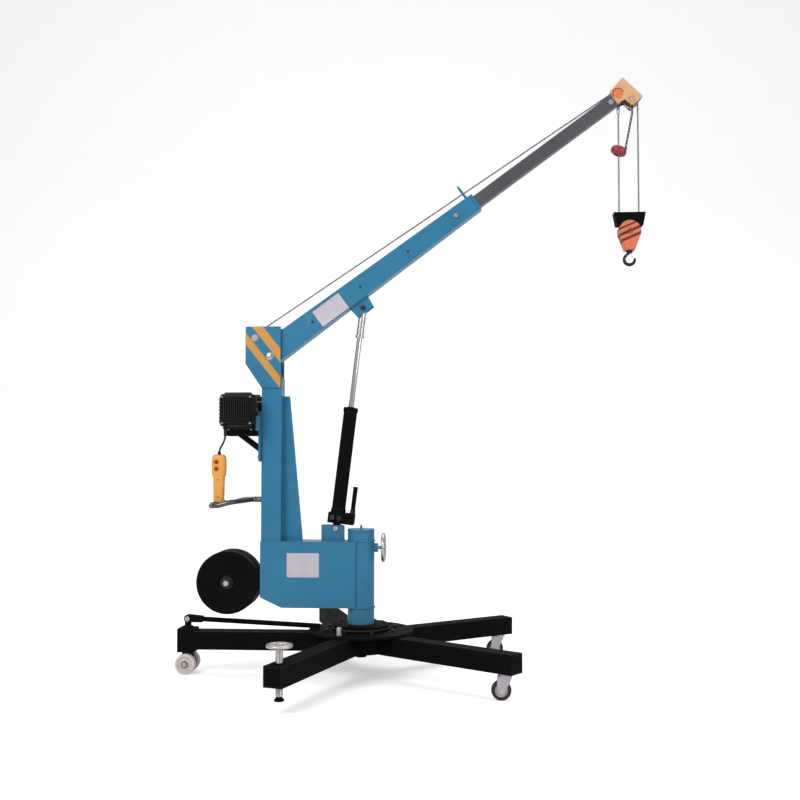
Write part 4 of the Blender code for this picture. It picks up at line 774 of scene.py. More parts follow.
for label, y in casterSet["rows"].items():
    name, body = "caster" + label.title(), "caster_" + label
    bm = bmesh.new()
    lathe(bm, casterSet["crown"], upright(x, y), 64)
    for low, high in ((inner, outer), (-outer, -inner)):
        slab(bm, cheek, y + low, y + high)
    brick(bm, (x - 0.033, y - outer, 0.1075), (x + 0.026, y + outer, 0.112))
    keep(name + "Fork", bm, "forkSteel", body, 0.0012, node=body + "_fork")
    bm = bmesh.new()
    for side in (near, far):
        spot = Vector((axleX, y + side * (outer + 0.0002), axleZ))
        lathe(bm, disc(0.0105, 0, 0.0014), axisTo(spot, (0, side, 0)), 28)
        hexBolt(bm, axisTo(spot + Vector((0, side * 0.001, 0)), (0, side, 0)), 0.013, 0.0062, 0.9)
    keep(name + "Axle", bm, "zincSteel", body, angle=30)
    place, wheel = across((axleX, y, axleZ)), body + "_wheel"
    turned(name + "Tyre", mirrored(casterSet["tread"]), place, 72, "blackRubber", wheel, True, angle=40,
        node=wheel)
    turned(name + "Hub", mirrored(casterSet["hub"]), place, 56, "whiteNylon", wheel, True, angle=28)
print("casters made")


# a round rim on four spokes; counts are those of the rim's points, its section and the spoke's section
def handwheel(bm, place, wheel):
    rimCount, tubeCount, spokeCount = wheel["counts"]
    sweep(bm, circle(wheel["rim"], 0, rimCount, place), wheel["tube"], tubeCount, True)
    lathe(bm, wheel["hub"], place, 40)
    start = 2 * math.pi * 0.13 / 4
    stations = [circle(r, drop, 4, place, start) for r, drop in zip(wheel["spoke"], (-0.004, -0.003, 0))]
    for line in zip(*stations):
        sweep(bm, line, lambda t: wheel["girth"] - 0.0018 * t, spokeCount)


# screw jacks
jackSet = {
    "x": -0.513112, "rows": {"front": -0.817909, "rear": 0.817909}, "rimZ": 0.286, "stem": 0.0163,
    "foot": mm((0, 55.2), (20.5, 55.2), (22, 56.8), (22, 62), (20, 65), (15, 69), (13.5, 74.8), (0, 74.9)),
    "nutTop": mm((17.2, 210.2), (27, 210.2), (27.5, 214), (25, 216.5), (17.2, 216.8)),
    "nutLow": mm((17.2, 119.8), (27, 119.8), (27, 115), (17.2, 115)),
    "wheel": {"rim": 0.05, "tube": 0.0075, "girth": 0.0072, "spoke": (0.012, 0.03, 0.049),
        "counts": (64, 16, 10), "hub": mm((0, -13), (19, -13), (20, -11), (18.5, 9), (15, 12.5), (10, 13),
        (9.5, 16), (0, 16))},
}
for label, y in jackSet["rows"].items():
    name, body = "jack" + label.title(), "jack_" + label
    screw, base = body + "_screw", upright(jackSet["x"], y)
    bm = bmesh.new()
    thread(bm, jackSet["stem"], 0.005, 0.079, 0.279, base, 0.0016, 20)
    lathe(bm, disc(0.012, 0.0756, 0.08), base, 28)
    keep(name + "Stem", bm, "wheelSteel", screw, angle=40, node=screw)
    bm = bmesh.new()
    handwheel(bm, upright(jackSet["x"], y, jackSet["rimZ"]), jackSet["wheel"])
    keep(name + "Wheel", bm, "wheelSteel", screw, angle=40)
    turned(name + "Foot", jackSet["foot"], base, 48, "blackPaint", body, node=body + "_foot")
    bm = bmesh.new()
    lathe(bm, jackSet["nutTop"], base, 48)
    lathe(bm, jackSet["nutLow"], base, 48)
    keep(name + "Nut", bm, "blackPaint", "base", 0.0006)
print("jacks made")

# slewing post, lower box, mast
eased("swivel_post", "bluePaint", "upper", 0.0018, 3)
eased("lower_box", "bluePaint", "upper", 0.004, 3)
eased("mast", "bluePaint", "upper", 0.004, 3)
eased("mast_head", "headPaint", "upper", 0.0014)
eased("ram_bracket", "bluePaint", "upper", 0.0015)
# the grommet is four bars round the rope's hole, each as y from and to, z from and to
mastSet = {
    "low": 0.6585, "half": 0.05, "left": -0.742357, "right": -0.642357, "postR": 0.068, "rib": 0.0065,
    "nipple": mm((0, 730.5), (3.2, 730.5), (3.2, 734), (4.5, 734.5), (4.5, 736.5), (2.6, 737.5), (2.6, 739.5),
        (1.8, 740.5), (0, 740.5)),
    "grommetX": (-0.7452, -0.7424),
    "grommet": [(-0.016, 0.016, 1.336, 1.3392), (-0.016, 0.016, 1.3728, 1.376),
        (-0.016, -0.0122, 1.336, 1.376), (0.0122, 0.016, 1.336, 1.376)],
}
low, half, left, right, rib = (mastSet[key] for key in ("low", "half", "left", "right", "rib"))
bm = bmesh.new()
for z in (0.6595, 0.3318):
    weld(bm, circle(mastSet["postR"], z, 60, upright(slewX), close=True), 0.004)
corners = [(left + 0.004, -half, low), (right, -half, low), (right, half, low), (left + 0.004, half, low)]
for pair in zip(corners, corners[1:]):
    weld(bm, pair, 0.0042)
for side in (near, far):
    weld(bm, [(right + 0.0005, side * rib, z) for z in (0.664, 1.378)], 0.0032)  # gusset
    weld(bm, [(x, side * rib, low) for x in (right, right + 0.1)], 0.0032)
    weld(bm, [(x, side * 0.029, 0.659) for x in (-0.44, -0.33)], 0.0034)  # ram bracket foot
    weld(bm, [(x, side * 0.0507, 1.4215) for x in (left + 0.003, -0.65)], 0.0028)  # cheek on mast
keep("upperWelds", bm, "bluePaint", "upper", angle=60)
turned("postNipple", mastSet["nipple"], upright(slewX), 24, "brassNipple", "upper")
bm = bmesh.new()
for y0, y1, z0, z1 in mastSet["grommet"]:
    brick(bm, (mastSet["grommetX"][0], y0, z0), (mastSet["grommetX"][1], y1, z1))
keep("ropeGrommet", bm, "blackRubber", "upper", 0.0006)

# bare name plate on the box, bare pale plate on the boom
plateSet = {
    "thick": 0.0008, "corner": 0.004, "inset": 0.0075,
    "rivet": mm((0, 0), (3.2, 0), (2.9, 1), (1.8, 1.7), (0, 2)),
    "boxPlate": ((-0.609, 0.483), (-0.449, 0.602), -0.0701, Matrix(), "upper"),
    "boomPlate": ((0.3, -0.036), (0.462, 0.056), -0.0426, boomPlace, "boom"),
}
for name in ("boxPlate", "boomPlate"):
    (x0, z0), (x1, z1), y, place, body = plateSet[name]
    corner, inset, face = plateSet["corner"], plateSet["inset"], y - plateSet["thick"]
    outline = []
    for i, (x, z) in enumerate(((x1 - corner, z1 - corner), (x0 + corner, z1 - corner),
                                (x0 + corner, z0 + corner), (x1 - corner, z0 + corner))):
        outline += flatArc((x, z), corner, 90 * i, 90 * i + 90, 6)
    bm = bmesh.new()
    slab(bm, outline, face, y, place)
    keep(name, bm, "plateWhite", body, 0.0002)
    bm = bmesh.new()
    for x in (x0 + inset, x1 - inset):
        for z in (z0 + inset, z1 - inset):
            lathe(bm, plateSet["rivet"], place @ nearFace(x, face, z), 20)
    keep(name + "Rivets", bm, "zincSteel", body)
print("post, box and mast made")

# bolts through the mast head and the ram's foot
boltSet = {"sheave_bolt": (headSheave, 0.025, 0.01), "boom_pivot_bolt": (boomPivot, 0.028, 0.012)}
for node, (middle, flats, shank) in boltSet.items():
    bm = bmesh.new()
    for side in (near, far):
        out = outward(middle.x, 0.0583, middle.z, side)
        hexBolt(bm, out, flats, 0.009)
        end = [(0, 0.008), (shank * 0.62, 0.008), (shank * 0.62, 0.0108), (shank * 0.5, 0.0116), (0, 0.0116)]
        lathe(bm, end, out, 24)
    lathe(bm, disc(shank - 0.0002, -0.058, 0.058), across(middle), 32)
    keep(node + ".shown", bm, "zincSteel", "upper", angle=30, node=node)
bm = bmesh.new()
for side in (near, far):
    hexBolt(bm, outward(ramFoot.x, 0.0303, ramFoot.z, side), 0.017, 0.006)
keep("ramPinNuts", bm, "zincSteel", "upper", angle=30)
print("mast head bolts made")

# slew lock handwheel
lockSet = {
    "rim": 0.064, "tube": 0.009, "girth": 0.0078, "spoke": (0.014, 0.036, 0.06), "counts": (72, 18, 12),
    "hub": mm((0, -12), (16.5, -12), (18, -9), (18, 9), (15, 12.5), (8, 13.5), (7.5, 10.5), (0, 10.5)),
    "place": (-0.135357, 0, 0.6255),
}
lockPlace = axisTo(lockSet["place"], (1, 0, 0))
bm = bmesh.new()
handwheel(bm, lockPlace, lockSet)
thread(bm, 0.0086, 0.0025, -0.052, -0.011, lockPlace, 0.0009, 18)
keep("slewLockWheel", bm, "zincSteel", "slew_lock", angle=40, node="slew_lock_wheel")

# counterweights
discSet = {
    "x": -0.904857, "z": 0.455, "radius": 0.155, "half": 0.017, "bore": 0.0166, "nutY": 0.079,
    "rows": {"near_outer": -0.0616, "near_inner": -0.0273, "far_inner": 0.0273, "far_outer": 0.0616},
    "washer": mm((16.2, 0), (31, 0), (31, 2.6), (30, 3.2), (16.2, 3.2)),
}
r, h = discSet["radius"], discSet["half"]
discSide = [(discSet["bore"], h * 0.98), (0.034, h * 0.98), (0.037, h * 0.9), (0.04, h * 0.8),
            (r - 0.024, h * 0.8), (r - 0.02, h * 0.88), (r - 0.017, h * 0.99), (r - 0.006, h * 0.99),
            (r - 0.0022, h * 0.9), (r, h * 0.72)]
for label, y in discSet["rows"].items():
    node = "counterweight_" + label
    turned(node + ".shown", mirrored(discSide), across((discSet["x"], y, discSet["z"])), 112, "discPaint",
        "upper", True, angle=24, node=node)
eased("counterweight_arm", "blackPaint", "upper", 0.0012)
nuts, studs = bmesh.new(), bmesh.new()
for side in (near, far):
    out = outward(discSet["x"], discSet["nutY"], discSet["z"], side)
    lathe(nuts, discSet["washer"], out, 40)
    hexBolt(nuts, out, 0.044, 0.018, 0.8)
    thread(studs, 0.014, 0.003, 0.016, 0.0286, out, 0.0012, 20)
keep("weightNuts", nuts, "darkForged", "upper", angle=30)
keep("weightStuds", studs, "zincSteel", "upper", angle=30)
print("counterweights made")

# push handle with two grips
handleSet = {
    "back": -0.742657, "foot": 0.034, "z": 0.863, "reach": 0.2275, "half": 0.17, "fall": 0.025,
    "radius": 0.0123, "grip": 0.015, "gripEnds": (0.128, 0.03), "ribs": 14, "rib": 0.0009,
}
back, z, foot, half = (handleSet[key] for key in ("back", "z", "foot", "half"))
farX, low = back - handleSet["reach"], z - handleSet["fall"]
bow = [(back, foot, z), (back - 0.03, foot, z), (back - 0.052, foot + 0.012, z),
    (back - 0.112, half - 0.018, z - 0.006), (back - 0.138, half, z - 0.01), (farX + 0.04, half, low + 0.002),
    (farX + 0.012, half - 0.012, low), (farX, half - 0.04, low)]
bm = bmesh.new()
sweep(bm, smoothPath(bow + [(x, -y, h) for x, y, h in reversed(bow)], 8), handleSet["radius"], 24)
keep("pushHandle", bm, "handlePaint", "upper", angle=60, node="push_handle")


def gripGirth(t):
    ends = 0.002 if t < 0.02 or t > 0.98 else 0
    return handleSet["grip"] + handleSet["rib"] * math.cos(t * 2 * math.pi * handleSet["ribs"]) - ends


bm = bmesh.new()
for side in (near, far):
    sweep(bm, evenly([(farX, side * y, low) for y in handleSet["gripEnds"]], 0.002), gripGirth, 28)
    weld(bm, circle(0.013, 0.001, 24, axisTo((back, side * foot, z), (-1, 0, 0)), close=True), 0.0028)
keep("handleGrips", bm, "blackRubber", "upper", angle=60)
print("push handle made")

# winch: cast covers with fins, screws, fan cowl, rope drum
winchSet = {
    "left": -0.934857, "right": -0.759357, "high": 1.388, "face": 0.165, "drum": (-0.847357, 0, 1.303),
    "fins": 12, "fin": 0.0016, "backFins": 7, "cowlY": 0.215, "cowl": (0.012, 0.024, 0.036, 0.048, 0.0575),
    "barrel": mm((0, 73.4), (13.4, 73.4), (13.8, 72.8), (13.8, 61.4), (64, 61.4), (65.8, 60.2), (65.8, 58.6),
        (64.5, 57.4), (44, 57)),
    "turns": 12, "pitch": 0.0084, "coilR": 0.0482, "coilLow": -0.0505, "perTurn": 36,
}
left, right, top, face, fin = (winchSet[key] for key in ("left", "right", "high", "face", "fin"))
eased("winch_casing", "winchPaint", "upper", 0.0016)
eased("winch_shelf", "shelfPaint", "upper", 0.0016)
bm = bmesh.new()
for i in range(winchSet["fins"]):  # over the near cover and on top of both
    x = left + 0.028 + i * (right - left - 0.056) / (winchSet["fins"] - 1)
    slab(bm, [(x - 0.0018, 1.272), (x + 0.0018, 1.272), (x + 0.0014, 1.366), (x - 0.0014, 1.366)],
         -face - 0.0075, -face + 0.001)
    for low, high in ((-face + 0.024, -0.078), (0.078, face - 0.024)):
        brick(bm, (x - fin, low, top - 0.001), (x + fin, high, top + 0.0065))
for i in range(winchSet["backFins"]):  # on the back of both covers
    z = 1.252 + i * 0.0175
    for low, high in ((-0.143, -0.084), (0.084, 0.143)):
        brick(bm, (left - 0.006, low, z - fin), (left + 0.001, high, z + fin))
brick(bm, (left + 0.022, -face - 0.0045, 1.24), (right - 0.022, -face + 0.001, 1.264))
keep("winchFins", bm, "winchPaint", "upper", 0.0007)
bm = bmesh.new()
for low, high in ((-0.122, -0.0665), (0.0665, 0.122)):
    brick(bm, (-0.759, low, 1.2055), (-0.7427, high, 1.279))
keep("winchEars", bm, "bluePaint", "upper", 0.0016)
bm = bmesh.new()
for x in (left + 0.018, right - 0.018):
    for z in (1.241, 1.37):
        for side in (near, far):
            capScrew(bm, outward(x, face, z, side), 0.005, 0.005)
for x in (-0.905, -0.79):
    for y in (-0.068, 0.068):
        hexBolt(bm, axisTo((x, y, 1.2147), (0, 0, -1)), 0.015, 0.007)
for y in (-0.052, 0.052):
    for z in (1.075, 1.285):
        hexBolt(bm, axisTo((-0.754657, y, z), (-1, 0, 0)), 0.015, 0.0075)
keep("winchScrews", bm, "zincSteel", "upper", angle=30)
drumX, drumZ = winchSet["drum"][0], winchSet["drum"][2]
cowl = across((drumX, winchSet["cowlY"], drumZ))
bm = bmesh.new()
for r in winchSet["cowl"]:
    sweep(bm, circle(r, 0.001, 56, cowl), 0.0022, 8, True)
for bar in zip(*(circle(r, 0.0015, 4, cowl, math.radians(45)) for r in (0.008, 0.058))):
    sweep(bm, bar, 0.0024, 8)
keep("fanCowl", bm, "winchPaint", "upper", angle=60)
drumPlace = across(winchSet["drum"])
turned("winchDrum", mirrored(winchSet["barrel"]), drumPlace, 72, "zincSteel", "winch_drum", angle=30,
    node="winch_drum")
coil = []
for i in range(winchSet["turns"] * winchSet["perTurn"] + 1):
    a, rise = 2 * math.pi * i / winchSet["perTurn"], winchSet["pitch"] * i / winchSet["perTurn"]
    coil.append(drumPlace @ Vector((winchSet["coilR"] * math.cos(a), winchSet["coilR"] * math.sin(a),
                                    winchSet["coilLow"] + rise)))
roped("drumRope", coil, "winch_drum", lay=0.05, step=0.009)
print("winch made")

# ram, up to the pin of the boom's lug
boomSet = {"axis": 0.016, "back": -0.018, "length": 1.308, "deep": 0.126, "shallow": 0.086, "lugX": 0.517,
    "lugDrop": 0.036}


def underside(x):
    along = (x - boomSet["back"]) / boomSet["length"]
    return boomSet["axis"] - 0.5 * (boomSet["deep"] + along * (boomSet["shallow"] - boomSet["deep"]))


lug = Vector((boomSet["lugX"], 0, underside(boomSet["lugX"]) - boomSet["lugDrop"]))
length = (ramPlace.inverted() @ (boomPlace @ lug)).z
low = length - 0.135 - 0.016
ramSet = {
    "barrel": mm((0, 60), (36, 60), (37, 64), (37, 96), (34, 100), (33.8, 578), (33.8, 582), (36.2, 584),
        (36.6, 588), (36.6, 602), (34.5, 606.6), (22, 607), (20, 604), (14, 603.5), (14, 400), (0, 400)),
    "pump": mm((0, 45), (15, 45), (15, 80), (13, 83), (7, 83), (0, 83)),
    "valve": mm((0, 0), (12.5, 0), (12.5, 3), (7.5, 4), (7.5, 8), (0, 8)),
    "wiper": mm((14, 604.5), (18.5, 604.5), (19, 608.5), (15, 610.5), (14, 610)),
    "knob": mm((0, 0), (10.5, 0), (10.5, 4), (6, 5), (6, 12), (12, 13), (13, 16), (13, 26), (11.5, 29),
        (0, 29)),
    "rod": [(0, 0.4), (0.0132, 0.4), (0.0134, 0.402), (0.0134, low + 0.002), (0, low + 0.002)],
    "sleeve": [(0.0134, low), (0.0222, low), (0.023, low + 0.0015), (0.023, low + 0.0105),
        (0.0222, low + 0.012), (0.0186, low + 0.013), (0.0186, low + 0.052), (0.0176, low + 0.053),
        (0.0176, low + 0.058), (0.0186, low + 0.059), (0.0188, length - 0.022), (0.0168, length - 0.016),
        (0, length - 0.015)],
    "socketAt": (0.072, 0, 0.0903),
    "socketPivot": mm((0, -12.9), (10.8, -12.9), (11.9, -11.8), (11.9, 11.8), (10.8, 12.9), (0, 12.9)),
    "socket": mm((0, 6), (11.2, 6), (11.4, 116), (12.8, 117), (12.8, 124.5), (12, 125), (8.8, 125),
        (8.6, 124), (8.6, 32), (0, 30)),
    "eyeHalf": 0.0138, "face": 0.0375,
}
eyeHalf, face = ramSet["eyeHalf"], ramSet["face"]
turned("ramBarrel", ramSet["barrel"], ramPlace, 64, "blackPaint", "ram_barrel", angle=30, node="ram_barrel")
bm = bmesh.new()
brick(bm, (-0.045, -face, 0.026), (0.085, face, 0.078), ramPlace)
slab(bm, flatArc((0, 0), 0.018, 180, 360, 20) + [(0.018, 0.03), (-0.018, 0.03)], -eyeHalf, eyeHalf, ramPlace)
lathe(bm, ramSet["pump"], ramPlace @ upright(0.052), 32)
for y0, y1 in ((-0.019, -0.0136), (0.0136, 0.019)):
    brick(bm, (0.06, y0, 0.07), (0.084, y1, 0.1), ramPlace)
keep("ramBase", bm, "blackPaint", "ram_barrel", 0.003, segments=3)
bm = bmesh.new()
for side in (near, far):
    hexBolt(bm, ramPlace @ outward(ramSet["socketAt"][0], 0.0195, ramSet["socketAt"][2], side), 0.013, 0.006)
lathe(bm, ramSet["valve"], ramPlace @ nearFace(0.012, -face, 0.052), 24)
for x in (-0.033, 0.06):
    for side in (near, far):
        capScrew(bm, ramPlace @ outward(x, face, 0.039, side), 0.0042, 0.0035)
keep("ramScrews", bm, "darkForged", "ram_barrel", angle=30)
turned("ramWiper", ramSet["wiper"], ramPlace, 48, "blackRubber", "ram_barrel")
turned("releaseKnob", ramSet["knob"], ramPlace @ nearFace(-0.02, -face, 0.056), 20, "blackRubber",
    "ram_barrel", bevel=0.0006)
turned("ramRod", ramSet["rod"], ramPlace, 56, "rodChrome", "ram_rod", angle=30, node="ram_rod")
bm = bmesh.new()
lathe(bm, ramSet["sleeve"], ramPlace, 56)
eye = flatArc((0, length), 0.0158, -60, 240, 26) + [(-0.012, length - 0.028), (0.012, length - 0.028)]
slab(bm, eye, -eyeHalf, eyeHalf, ramPlace)
keep("rodSleeve", bm, "zincSteel", "ram_rod", 0.0006, 30)
bm = bmesh.new()
socketPlace = ramPlace @ upright(*ramSet["socketAt"])
lathe(bm, ramSet["socketPivot"], socketPlace @ across((0, 0, 0)), 40)
lathe(bm, ramSet["socket"], socketPlace, 40)
keep("pumpSocket", bm, "blackPaint", "pump_socket", node="pump_socket")
print("ram made")

# boom
eased("outer_boom", "bluePaint", "boom", 0.0024)
eased("boom_lug", "bluePaint", "boom", 0.0014)
eased("boom_lock_screw", "zincSteel", "boom", 0.0008)
eased("inner_boom", "slidePaint", "inner", 0.0024)
eased("boom_head", "peachPaint", "inner", 0.001)
fittingSet = {
    "lugEnds": (0.463, 0.571), "lugHalf": 0.0275, "mouthX": 1.276, "guideX": 1.262, "guideY": 0.018,
    "boltX": 0.272, "boltStep": 0.2967, "bolts": 4, "plateSpan": (0.3, 0.47), "headX": 2.12,
    "tipCap": mm((0, 0), (15, 0), (15, 2.2), (10.5, 2.6), (10.5, 3.4), (0, 3.4)),
}
lugHalf, (lugBack, lugFront) = fittingSet["lugHalf"], fittingSet["lugEnds"]


def lugEdge(x, y):  # where the lug meets the boom
    return boomPlace @ Vector((x, y, underside(x) - 0.0005))


bm = bmesh.new()
for side in (near, far):
    weld(bm, [lugEdge(x, side * lugHalf) for x in (lugBack, lug.x, lugFront)], 0.0034)
    weld(bm, [boomPlace @ Vector((fittingSet["mouthX"], side * 0.0428, z)) for z in (-0.022, 0.054)], 0.0024)
for x in (lugBack, lugFront):
    weld(bm, [lugEdge(x, y) for y in (-lugHalf, lugHalf)], 0.0032)
for side in (near, far):  # feet of the rope guide
    guide = boomPlace @ upright(fittingSet["guideX"], side * fittingSet["guideY"])
    weld(bm, circle(0.0052, 0.0598, 18, guide, close=True), 0.002)
keep("boomWelds", bm, "bluePaint", "boom", angle=60)
bm = bmesh.new()
for side in (near, far):
    hexBolt(bm, boomPlace @ outward(lug.x, 0.035, lug.z, side), 0.02, 0.005, 0.9)
    for i in range(fittingSet["bolts"]):  # set in the side holes, but not under the bare plate
        x = fittingSet["boltX"] + fittingSet["boltStep"] * i
        if side == far or not fittingSet["plateSpan"][0] < x < fittingSet["plateSpan"][1]:
            capScrew(bm, boomPlace @ outward(x, 0.0418, boomSet["axis"], side), 0.0052, 0.0016)
keep("boomBolts", bm, "darkForged", "boom", angle=30)
toBoom = boomPlace.inverted()
tip = toBoom @ tipCentre
bm = bmesh.new()
for side in (near, far):
    hexBolt(bm, boomPlace @ outward(fittingSet["headX"], 0.0303, boomSet["axis"], side), 0.018, 0.008)
    lathe(bm, fittingSet["tipCap"], boomPlace @ outward(tip.x, 0.0317, tip.z, side), 32)
keep("boomHeadBolts", bm, "zincSteel", "inner", angle=30)

rollerSet = {
    "x": 2.1734, "z": 0.029, "radius": 0.0242, "face": 0.0317, "ropeR": 0.024,
    "paintedShadeStrip": mm((2154.5, -15), (2180, -18.4), (2187.5, -66.4)),
}
rollerX, rollerZ, r, face = (rollerSet[key] for key in ("x", "z", "radius", "face"))
rollerPlate = [(0, 0), (r, 0), (r, 0.0018), (r - 0.0018, 0.003), (0.0098, 0.003), (0.009, 0.004),
               (0.005, 0.0046), (0, 0.0046)]
for label, side in sides:
    turned("rollerPlate." + label, rollerPlate, boomPlace @ outward(rollerX, face, rollerZ, side), 56,
        "rollerPaint", "inner", angle=30)
    # painted shade: a dark rubber ring round the top of the roller plate and a dark strip along the head's
    # lower edge stand in for the shade between the cheeks
    bm = bmesh.new()
    middle = boomPlace @ Vector((rollerX, side * (face + 0.001), rollerZ))
    sweep(bm, [p + Vector((0, middle.y, 0)) for p in arcPoints(middle, r + 0.0018, 18, 222, 30)], 0.0018, 10)
    paintedShadeStrip = [boomPlace @ Vector((x, side * (face - 0.003), z)) for x, z in rollerSet["paintedShadeStrip"]]
    sweep(bm, evenly(paintedShadeStrip, 0.004), 0.0046, 10)
    keep("headPaintedShade." + label, bm, "blackRubber", "inner", angle=60)


def grooved(node, middle, rope, half, finish, bore=0.0103):
    rim = rope + 0.0036
    side = [(bore, half), (rope * 0.62, half), (rope * 0.66, half * 0.72), (rope * 0.7, 0.0072),
            (rope * 0.86, 0.0072), (rim - 0.0012, 0.0076), (rim, 0.0066), (rope + 0.001, 0.0046),
            (rope - 0.0022, 0.0034), (rope - 0.0038, 0.0016), (rope - 0.0041, 0.0)]
    turned(node + ".shown", mirrored(side), across(middle), 80, finish, node, True, angle=30, node=node)


grooved("head_sheave", headSheave, headRopeR, 0.0495, "blackPaint")
grooved("tip_sheave", tipCentre, tipRopeR, 0.025, "zincSteel")
grooved("hook_sheave", blockCentre, blockRopeR, 0.0115, "zincSteel")
print("boom made")

# rope: mast stretch, boom stretch, falls; angles in degrees as seen from the near side
ropeSet = {
    "top": 1.3513, "leave": 126.2, "rootShare": 0.035, "liveX": 1.137643, "deadX": 1.041071,
    "anchorZ": 2.8442, "deadBend": 2.7, "liveBend": tipCentre.z - 0.02, "eye": 0.0112, "eyeWire": 0.0032,
    "ferrule": mm((4.2, 2790), (7.2, 2790), (7.8, 2793), (7.8, 2822), (6.6, 2826), (4.2, 2826)),
}
left, top = mastSet["left"], ropeSet["top"]
overHead = arcPoints(headSheave, headRopeR, 180, ropeSet["leave"], 6)
rising = [(drumX + 0.004, 0, top), (left - 0.02, 0, top), (left + 0.018, 0, top + 0.01),
    (left + 0.034, 0, top + 0.045), (left + 0.022, 0, 1.47),
    (headSheave.x - headRopeR + 0.003, 0, headSheave.z - 0.034), *overHead]
roped("mastRope", smoothPath(rising, 5), "upper", node="rope_mast")

roller = Vector((rollerX, 0, rollerZ))
run = tip - roller
leave = math.degrees(math.atan2(run.x, -run.z))
overRoller = [boomPlace @ p for p in arcPoints(roller, rollerSet["ropeR"], 92, leave, 6)]
overTip = [boomPlace @ p for p in arcPoints(tip, tipRopeR, leave, -boomAngle, 14)]
root = overHead[-1].lerp(overRoller[0], ropeSet["rootShare"])
liveTop, deadTop = (ropeSet["liveX"], 0, ropeSet["liveBend"]), (ropeSet["deadX"], 0, ropeSet["deadBend"])
liveLow, deadLow = (ropeSet["liveX"], 0, blockCentre.z), (ropeSet["deadX"], 0, blockCentre.z)
anchor = Vector((ropeSet["deadX"], 0, ropeSet["anchorZ"]))
stretched("boomRopeRoot", "upper", "boom", overHead[-1], root, node="rope_boom")
stretched("boomRope", "boom", "inner", root, overRoller[0], step=0.0075)
stretched("tipRope", "inner", "falls", overTip[0], (ropeSet["liveX"], 0, tipCentre.z),
    [*overRoller, *overTip, liveTop])
stretched("liveRope", "falls", "block", liveTop, liveLow, node="rope_live_fall")
stretched("deadRopeTop", "inner", "falls", anchor, deadTop)
stretched("deadRope", "falls", "block", deadTop, deadLow, node="rope_dead_fall")
roped("blockRope", arcPoints(blockCentre, blockRopeR, 180, 360, 24), "block")
bm = bmesh.new()
sweep(bm, arcPoints(anchor, ropeSet["eye"], -60, 240, 24), ropeSet["eyeWire"], 10)
keep("deadEye", bm, "ropeSteel", "inner", angle=60)
ferrule = turned("deadFerrule", ropeSet["ferrule"], upright(ropeSet["deadX"]), 28, "zincSteel", None)
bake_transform(ferrule)
print("rope made")

# limit weight on its chain
weightSet = {
    "centre": (1.041071, 0, 2.603081), "tilt": 24, "radius": 0.04, "bore": 0.0158, "half": 0.023,
    "eyeAt": (0.028, 0, 0.02), "eyeR": 0.0062, "chainY": -0.04, "strap": 0.038, "link": 0.015,
    "linkR": 0.0046, "wire": 0.002232,
}
tilt = Matrix.Translation(weightSet["centre"]) @ Matrix.Rotation(math.radians(weightSet["tilt"]), 4, "Y")
r, h, b = weightSet["radius"], weightSet["half"], weightSet["bore"]
quarter = (math.pi / 2 * k / 12 for k in range(12, 0, -1))
oval = [(b, h * 0.94), *[(b + (r - b) * math.cos(a), h * 0.98 * math.sin(a) ** 0.8) for a in quarter],
    (r, 0.0)]
turned("limitWeight", mirrored(oval), tilt, 72, "crimsonPaint", "falls", True, node="limit_weight")
eye = tilt @ Vector(weightSet["eyeAt"])
chainTop = Vector((tipCentre.x, weightSet["chainY"], tipCentre.z + 0.004))
strapEnd = chainTop - Vector((0, 0, weightSet["strap"]))
bm = bmesh.new()  # strap on the axle end that carries the chain
strap = flatArc(tipCentre, 0.0098, 0, 180, 12) + flatArc(strapEnd, 0.0062, 180, 360, 10)
slab(bm, strap, chainTop.y + 0.0022, chainTop.y + 0.0052)
keep("limitStrap", bm, "peachPaint", "falls", 0.0006)
bm = bmesh.new()
chainPath = evenly([strapEnd, chainTop - Vector((0, 0, 0.08)), eye], weightSet["link"])
reach, r = weightSet["link"] / 2 + 0.0014, weightSet["linkR"]
for i, (a, c) in enumerate(zip(chainPath, chainPath[1:])):
    along = (c - a).normalized()
    flat = along.orthogonal().normalized()
    flat = flat if i % 2 == 0 else along.cross(flat)
    loop = []
    for t in (2 * math.pi * k / 20 for k in range(20)):
        shift = math.copysign(reach - r, math.cos(t)) + r * math.cos(t)
        loop.append((a + c) / 2 + along * shift + flat * (r * math.sin(t)))
    sweep(bm, loop, weightSet["wire"], 8, True)
keep("limitChain", bm, "darkForged", "falls", angle=60)
bm = bmesh.new()
eyeTurn = [2 * math.pi * i / 20 for i in range(20)]
r = weightSet["eyeR"]
sweep(bm, [eye + Vector((r * math.cos(a), 0.0, r * math.sin(a) + 0.003)) for a in eyeTurn], 0.0022, 10, True)
keep("limitEye", bm, "darkForged", "falls", angle=40)
print("limit weight made")

# hook block: body, cover, cheek plates that lap over the cover
eased("block_body", "blockPaint", "block", 0.0022, 3)
eased("block_cover", "blackPaint", "block", 0.0022, 3)
cheekSet = {
    "radius": 0.0545, "neck": 0.0235, "tail": 0.0925, "inner": 0.0258, "step": 0.0333, "outer": 0.0362,
    "boss": mm((0, 0), (15, 0), (15, 1.2), (13.8, 2), (0, 2)),
}
hookX, blockZ, r = blockCentre.x, blockCentre.z, cheekSet["radius"]
tail = [(hookX + x, blockZ - cheekSet["tail"]) for x in (-cheekSet["neck"], cheekSet["neck"])]
whole = flatArc(blockCentre, r, -20, 200, 44) + tail
lower = flatArc(blockCentre, r, -20, 31, 12) + flatArc(blockCentre, r, 149, 200, 12) + tail
for label, side in sides:
    bm = bmesh.new()
    slab(bm, whole, *sorted((side * cheekSet["step"], side * cheekSet["outer"])))
    slab(bm, lower, *sorted((side * cheekSet["inner"], side * cheekSet["step"])))
    lathe(bm, cheekSet["boss"], outward(hookX, cheekSet["outer"], blockZ, side), 40)
    hexBolt(bm, outward(hookX, cheekSet["outer"] + 0.0016, blockZ, side), 0.018, 0.0056, 0.9)
    keep("blockCheek." + label, bm, "blockPaint", "block", 0.0009, angle=30)

